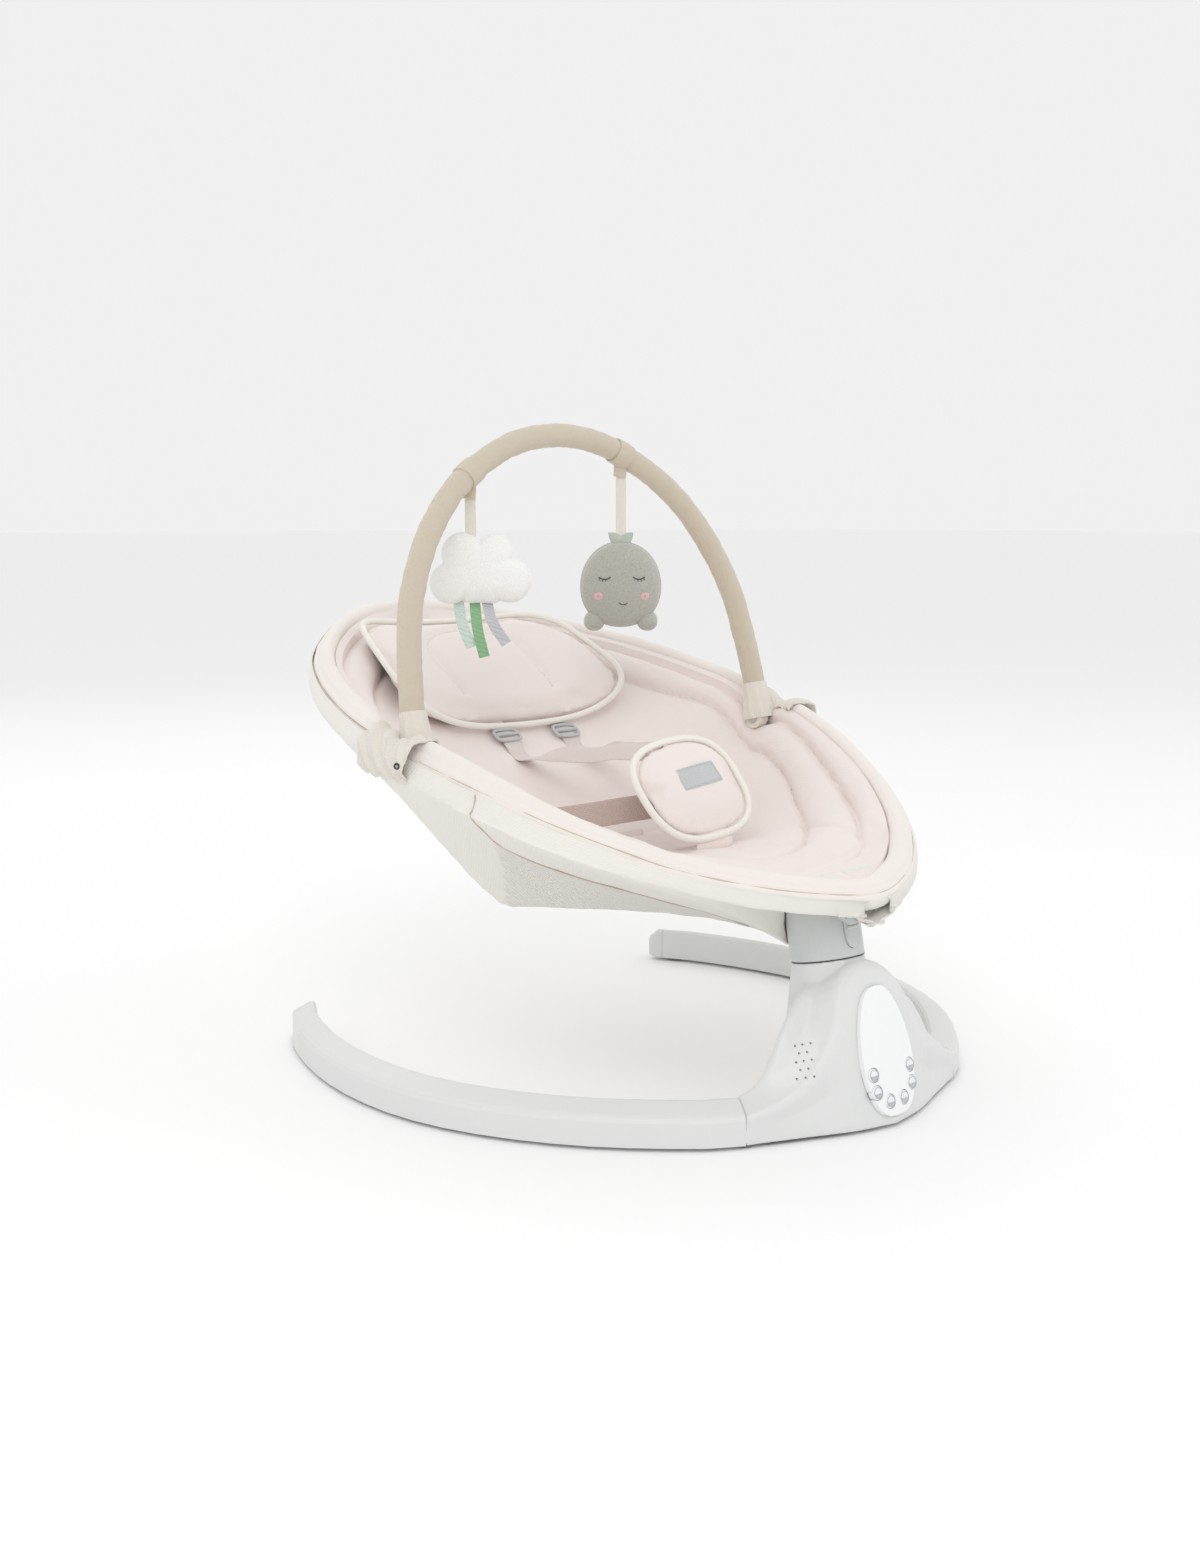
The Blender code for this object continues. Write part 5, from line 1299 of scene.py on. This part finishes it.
def make_cloud():
    """The cloud toy with its strap and three ribbons."""
    hinge = toy_frame("cloud")
    at = toy_at(hinge)
    drop = 0.034
    make_tape("cloud", at, drop, 0.006, 20)
    cloud = stuffed("cloud_plush", cloud_outline(), 0.0135, at, (0.008, -drop - 0.033))
    put(cloud, "cloud", WHITE_PILE, "cloud_toy")
    low = -drop - 0.033 - 0.026
    ribbons = (("mint", -0.012, 0.043, MINT, 0.012), ("green", 0.003, 0.052, GREEN, 0.0085),
               ("grey", 0.014, 0.040, SILVER, 0.018))
    for name, x, length, look, drift in ribbons:
        knots = [at(x, 0.002, low), at(x + drift * 0.3, -0.002, low - length * 0.5), at(x + drift, 0.001, low - length)]
        line = even(spline(knots, 8), 24)
        cut = sum((b - a).length for a, b in zip(line, line[1:]))
        piece = ribbon(f"tail_{name}", line, TAPE_WIDTH, 0.0007, TOY_ROLL @ Vector((1, 0.1, 0)))
        put(piece, "cloud", look, f"ribbon_{name}")


def make_creature():
    """The round creature toy with leaf ears, two feet and a sleeping face."""
    hinge = toy_frame("creature")
    at = toy_at(hinge)
    drop = 0.052
    make_tape("creature", at, drop, 0.010, 24)
    middle = -drop - 0.0545
    outline = superellipse(0.0420, 0.0385, 0.0845, 0.95, 96)
    body = stuffed("creature_plush", outline, 0.0185, at, (0.0, middle), 0.03)
    put(body, "creature", GREY_PILE, "creature_toy")
    for side, sign in SIDES:
        foot = stuffed(f"creature_foot_{side}", superellipse(0.0105, 0.0100, 0.020, 0.9, 40), 0.0100, at,
                       (sign * 0.0265, middle - 0.0360), 0.02)
        put(foot, "creature", GREY_PILE)
        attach(foot, "creature")
        leaf = []
        for k in range(48):
            t = 1 - abs(1 - k / 24)
            edge = 0.0058 * math.sin(math.pi * t ** 0.8) ** 0.9 * (1 if k < 24 else -1)
            u = 0.0175 * t
            tilt = math.radians(40)
            leaf.append((sign * (u * math.cos(tilt) - edge * math.sin(tilt)),
                         u * math.sin(tilt) + edge * math.cos(tilt)))
        ear = stuffed(f"leaf_ear_{side}", leaf, 0.0024, at, (sign * -0.001, -drop - 0.0150), 0.04)
        if side == "left":
            put(ear, "creature", LEAF, "creature_leaves")
        else:
            put(ear, "creature", LEAF)
    make_face(at, middle)


def on_body(at, middle, x, z, lift=0.0):
    """A point on the front of the creature's body."""
    share = min(math.hypot(x / 0.040, z / 0.0415), 0.97)
    return at(x, -0.0185 * (1 - share ** 2.3) ** 0.5 - lift, middle + z)


def make_face(at, middle):
    """Closed lashed eyes, round cheeks and a small smile, all sewn."""
    for side, sign in SIDES:
        lid = []
        for k in range(13):
            t = -1 + 2 * k / 12
            lid.append(on_body(at, middle, sign * 0.0168 + t * 0.0058, 0.0075 - 0.0020 * (1 - t * t), 0.0002))
        put(tube(f"eye_{side}", lid, 0.00065, 6), "creature", DARK_THREAD)
        for index, t in enumerate((-0.8, -0.25, 0.3)):
            x = sign * 0.0168 + sign * -t * 0.0058
            z = 0.0075 - 0.0020 * (1 - t * t)
            lash = [on_body(at, middle, x, z, 0.0002), on_body(at, middle, x + sign * 0.0012, z - 0.0022, 0.0002)]
            put(tube(f"lash_{side}_{index}", even(lash, 4), 0.0004, 6), "creature", DARK_THREAD)
        rows = []
        for ring in range(1, 6):
            rows.append([on_body(at, middle, sign * 0.0230 + 0.0042 * ring / 5 * math.cos(a), -0.0110
                                 + 0.0036 * ring / 5 * math.sin(a), 0.0006 * (1 - (ring / 5) ** 4) + 0.0002)
                         for a in (2 * math.pi * k / 24 for k in range(24))])
        cheek = grid(f"cheek_{side}", rows)
        solidify(cheek, 0.0006, 0.0)
        put(cheek, "creature", CHEEK)
    smile = []
    for k in range(11):
        t = -1 + 2 * k / 10
        smile.append(on_body(at, middle, 0.0015 + t * 0.0042, -0.0195 + 0.0022 * t * t, 0.0002))
    put(tube("smile", smile, 0.0005, 6), "creature", DARK_THREAD)


# Studio --------------------------------------------------------------------------------------------

def make_studio():
    """Pale floor, soft lights and the camera."""
    bm = bmesh.new()
    bmesh.ops.create_grid(bm, x_segments=2, y_segments=2, size=60.0)
    floor = finish_mesh("studio_floor", bm)
    floor.location = (0, 0, -0.0002)
    look = Look("studio_floor_look", (0.965, 0.965, 0.965), 0.8)
    look.rough(look.ranged(look.noise(3.0), 0.3, 0.7, 0.62, 0.78))
    floor.data.materials.append(look.material)
    world = bpy.data.worlds.new("studio")
    world.use_nodes = True
    world.node_tree.nodes["Background"].inputs["Color"].default_value = (0.95, 0.95, 0.95, 1.0)
    world.node_tree.nodes["Background"].inputs["Strength"].default_value = 0.92
    bpy.context.scene.world = world
    lamps = (("key_light", (-1.6, -1.6, 2.4), 1.8, 17.0), ("fill_light", (2.0, -1.2, 1.6), 2.0, 5.0),
             ("back_light", (0.6, 2.2, 2.2), 2.0, 8.0))
    for name, place, size, power in lamps:
        lamp = bpy.data.lights.new(name, "AREA")
        lamp.size = size
        lamp.energy = power
        obj = bpy.data.objects.new(name, lamp)
        obj.location = place
        aim = Vector((0, 0, 0.25)) - Vector(place)
        obj.rotation_euler = aim.to_track_quat("-Z", "Y").to_euler()
        bpy.context.scene.collection.objects.link(obj)
    data = bpy.data.cameras.new("camera")
    data.lens = 40.43
    data.sensor_width = 36.0
    camera = bpy.data.objects.new("camera", data)
    camera.location = (-1.078, -1.228, 0.491)
    camera.rotation_euler = (math.radians(90 - 8.37), 0.0, math.radians(-40.93))
    bpy.context.scene.collection.objects.link(camera)
    bpy.context.scene.camera = camera
    bpy.context.scene.view_settings.view_transform = "Standard"


make_studio()
dress_nodes()
make_shell()
make_button_details()
make_key_rings_and_shade_crescents()
make_roll()
make_sling()
make_insert()
make_pillow()
make_crotch_pad()
make_harness()
make_bar()
make_bar_loop("left", -0.115)
make_bar_loop("right", 0.074)
make_wraps()
make_cloud()
make_creature()
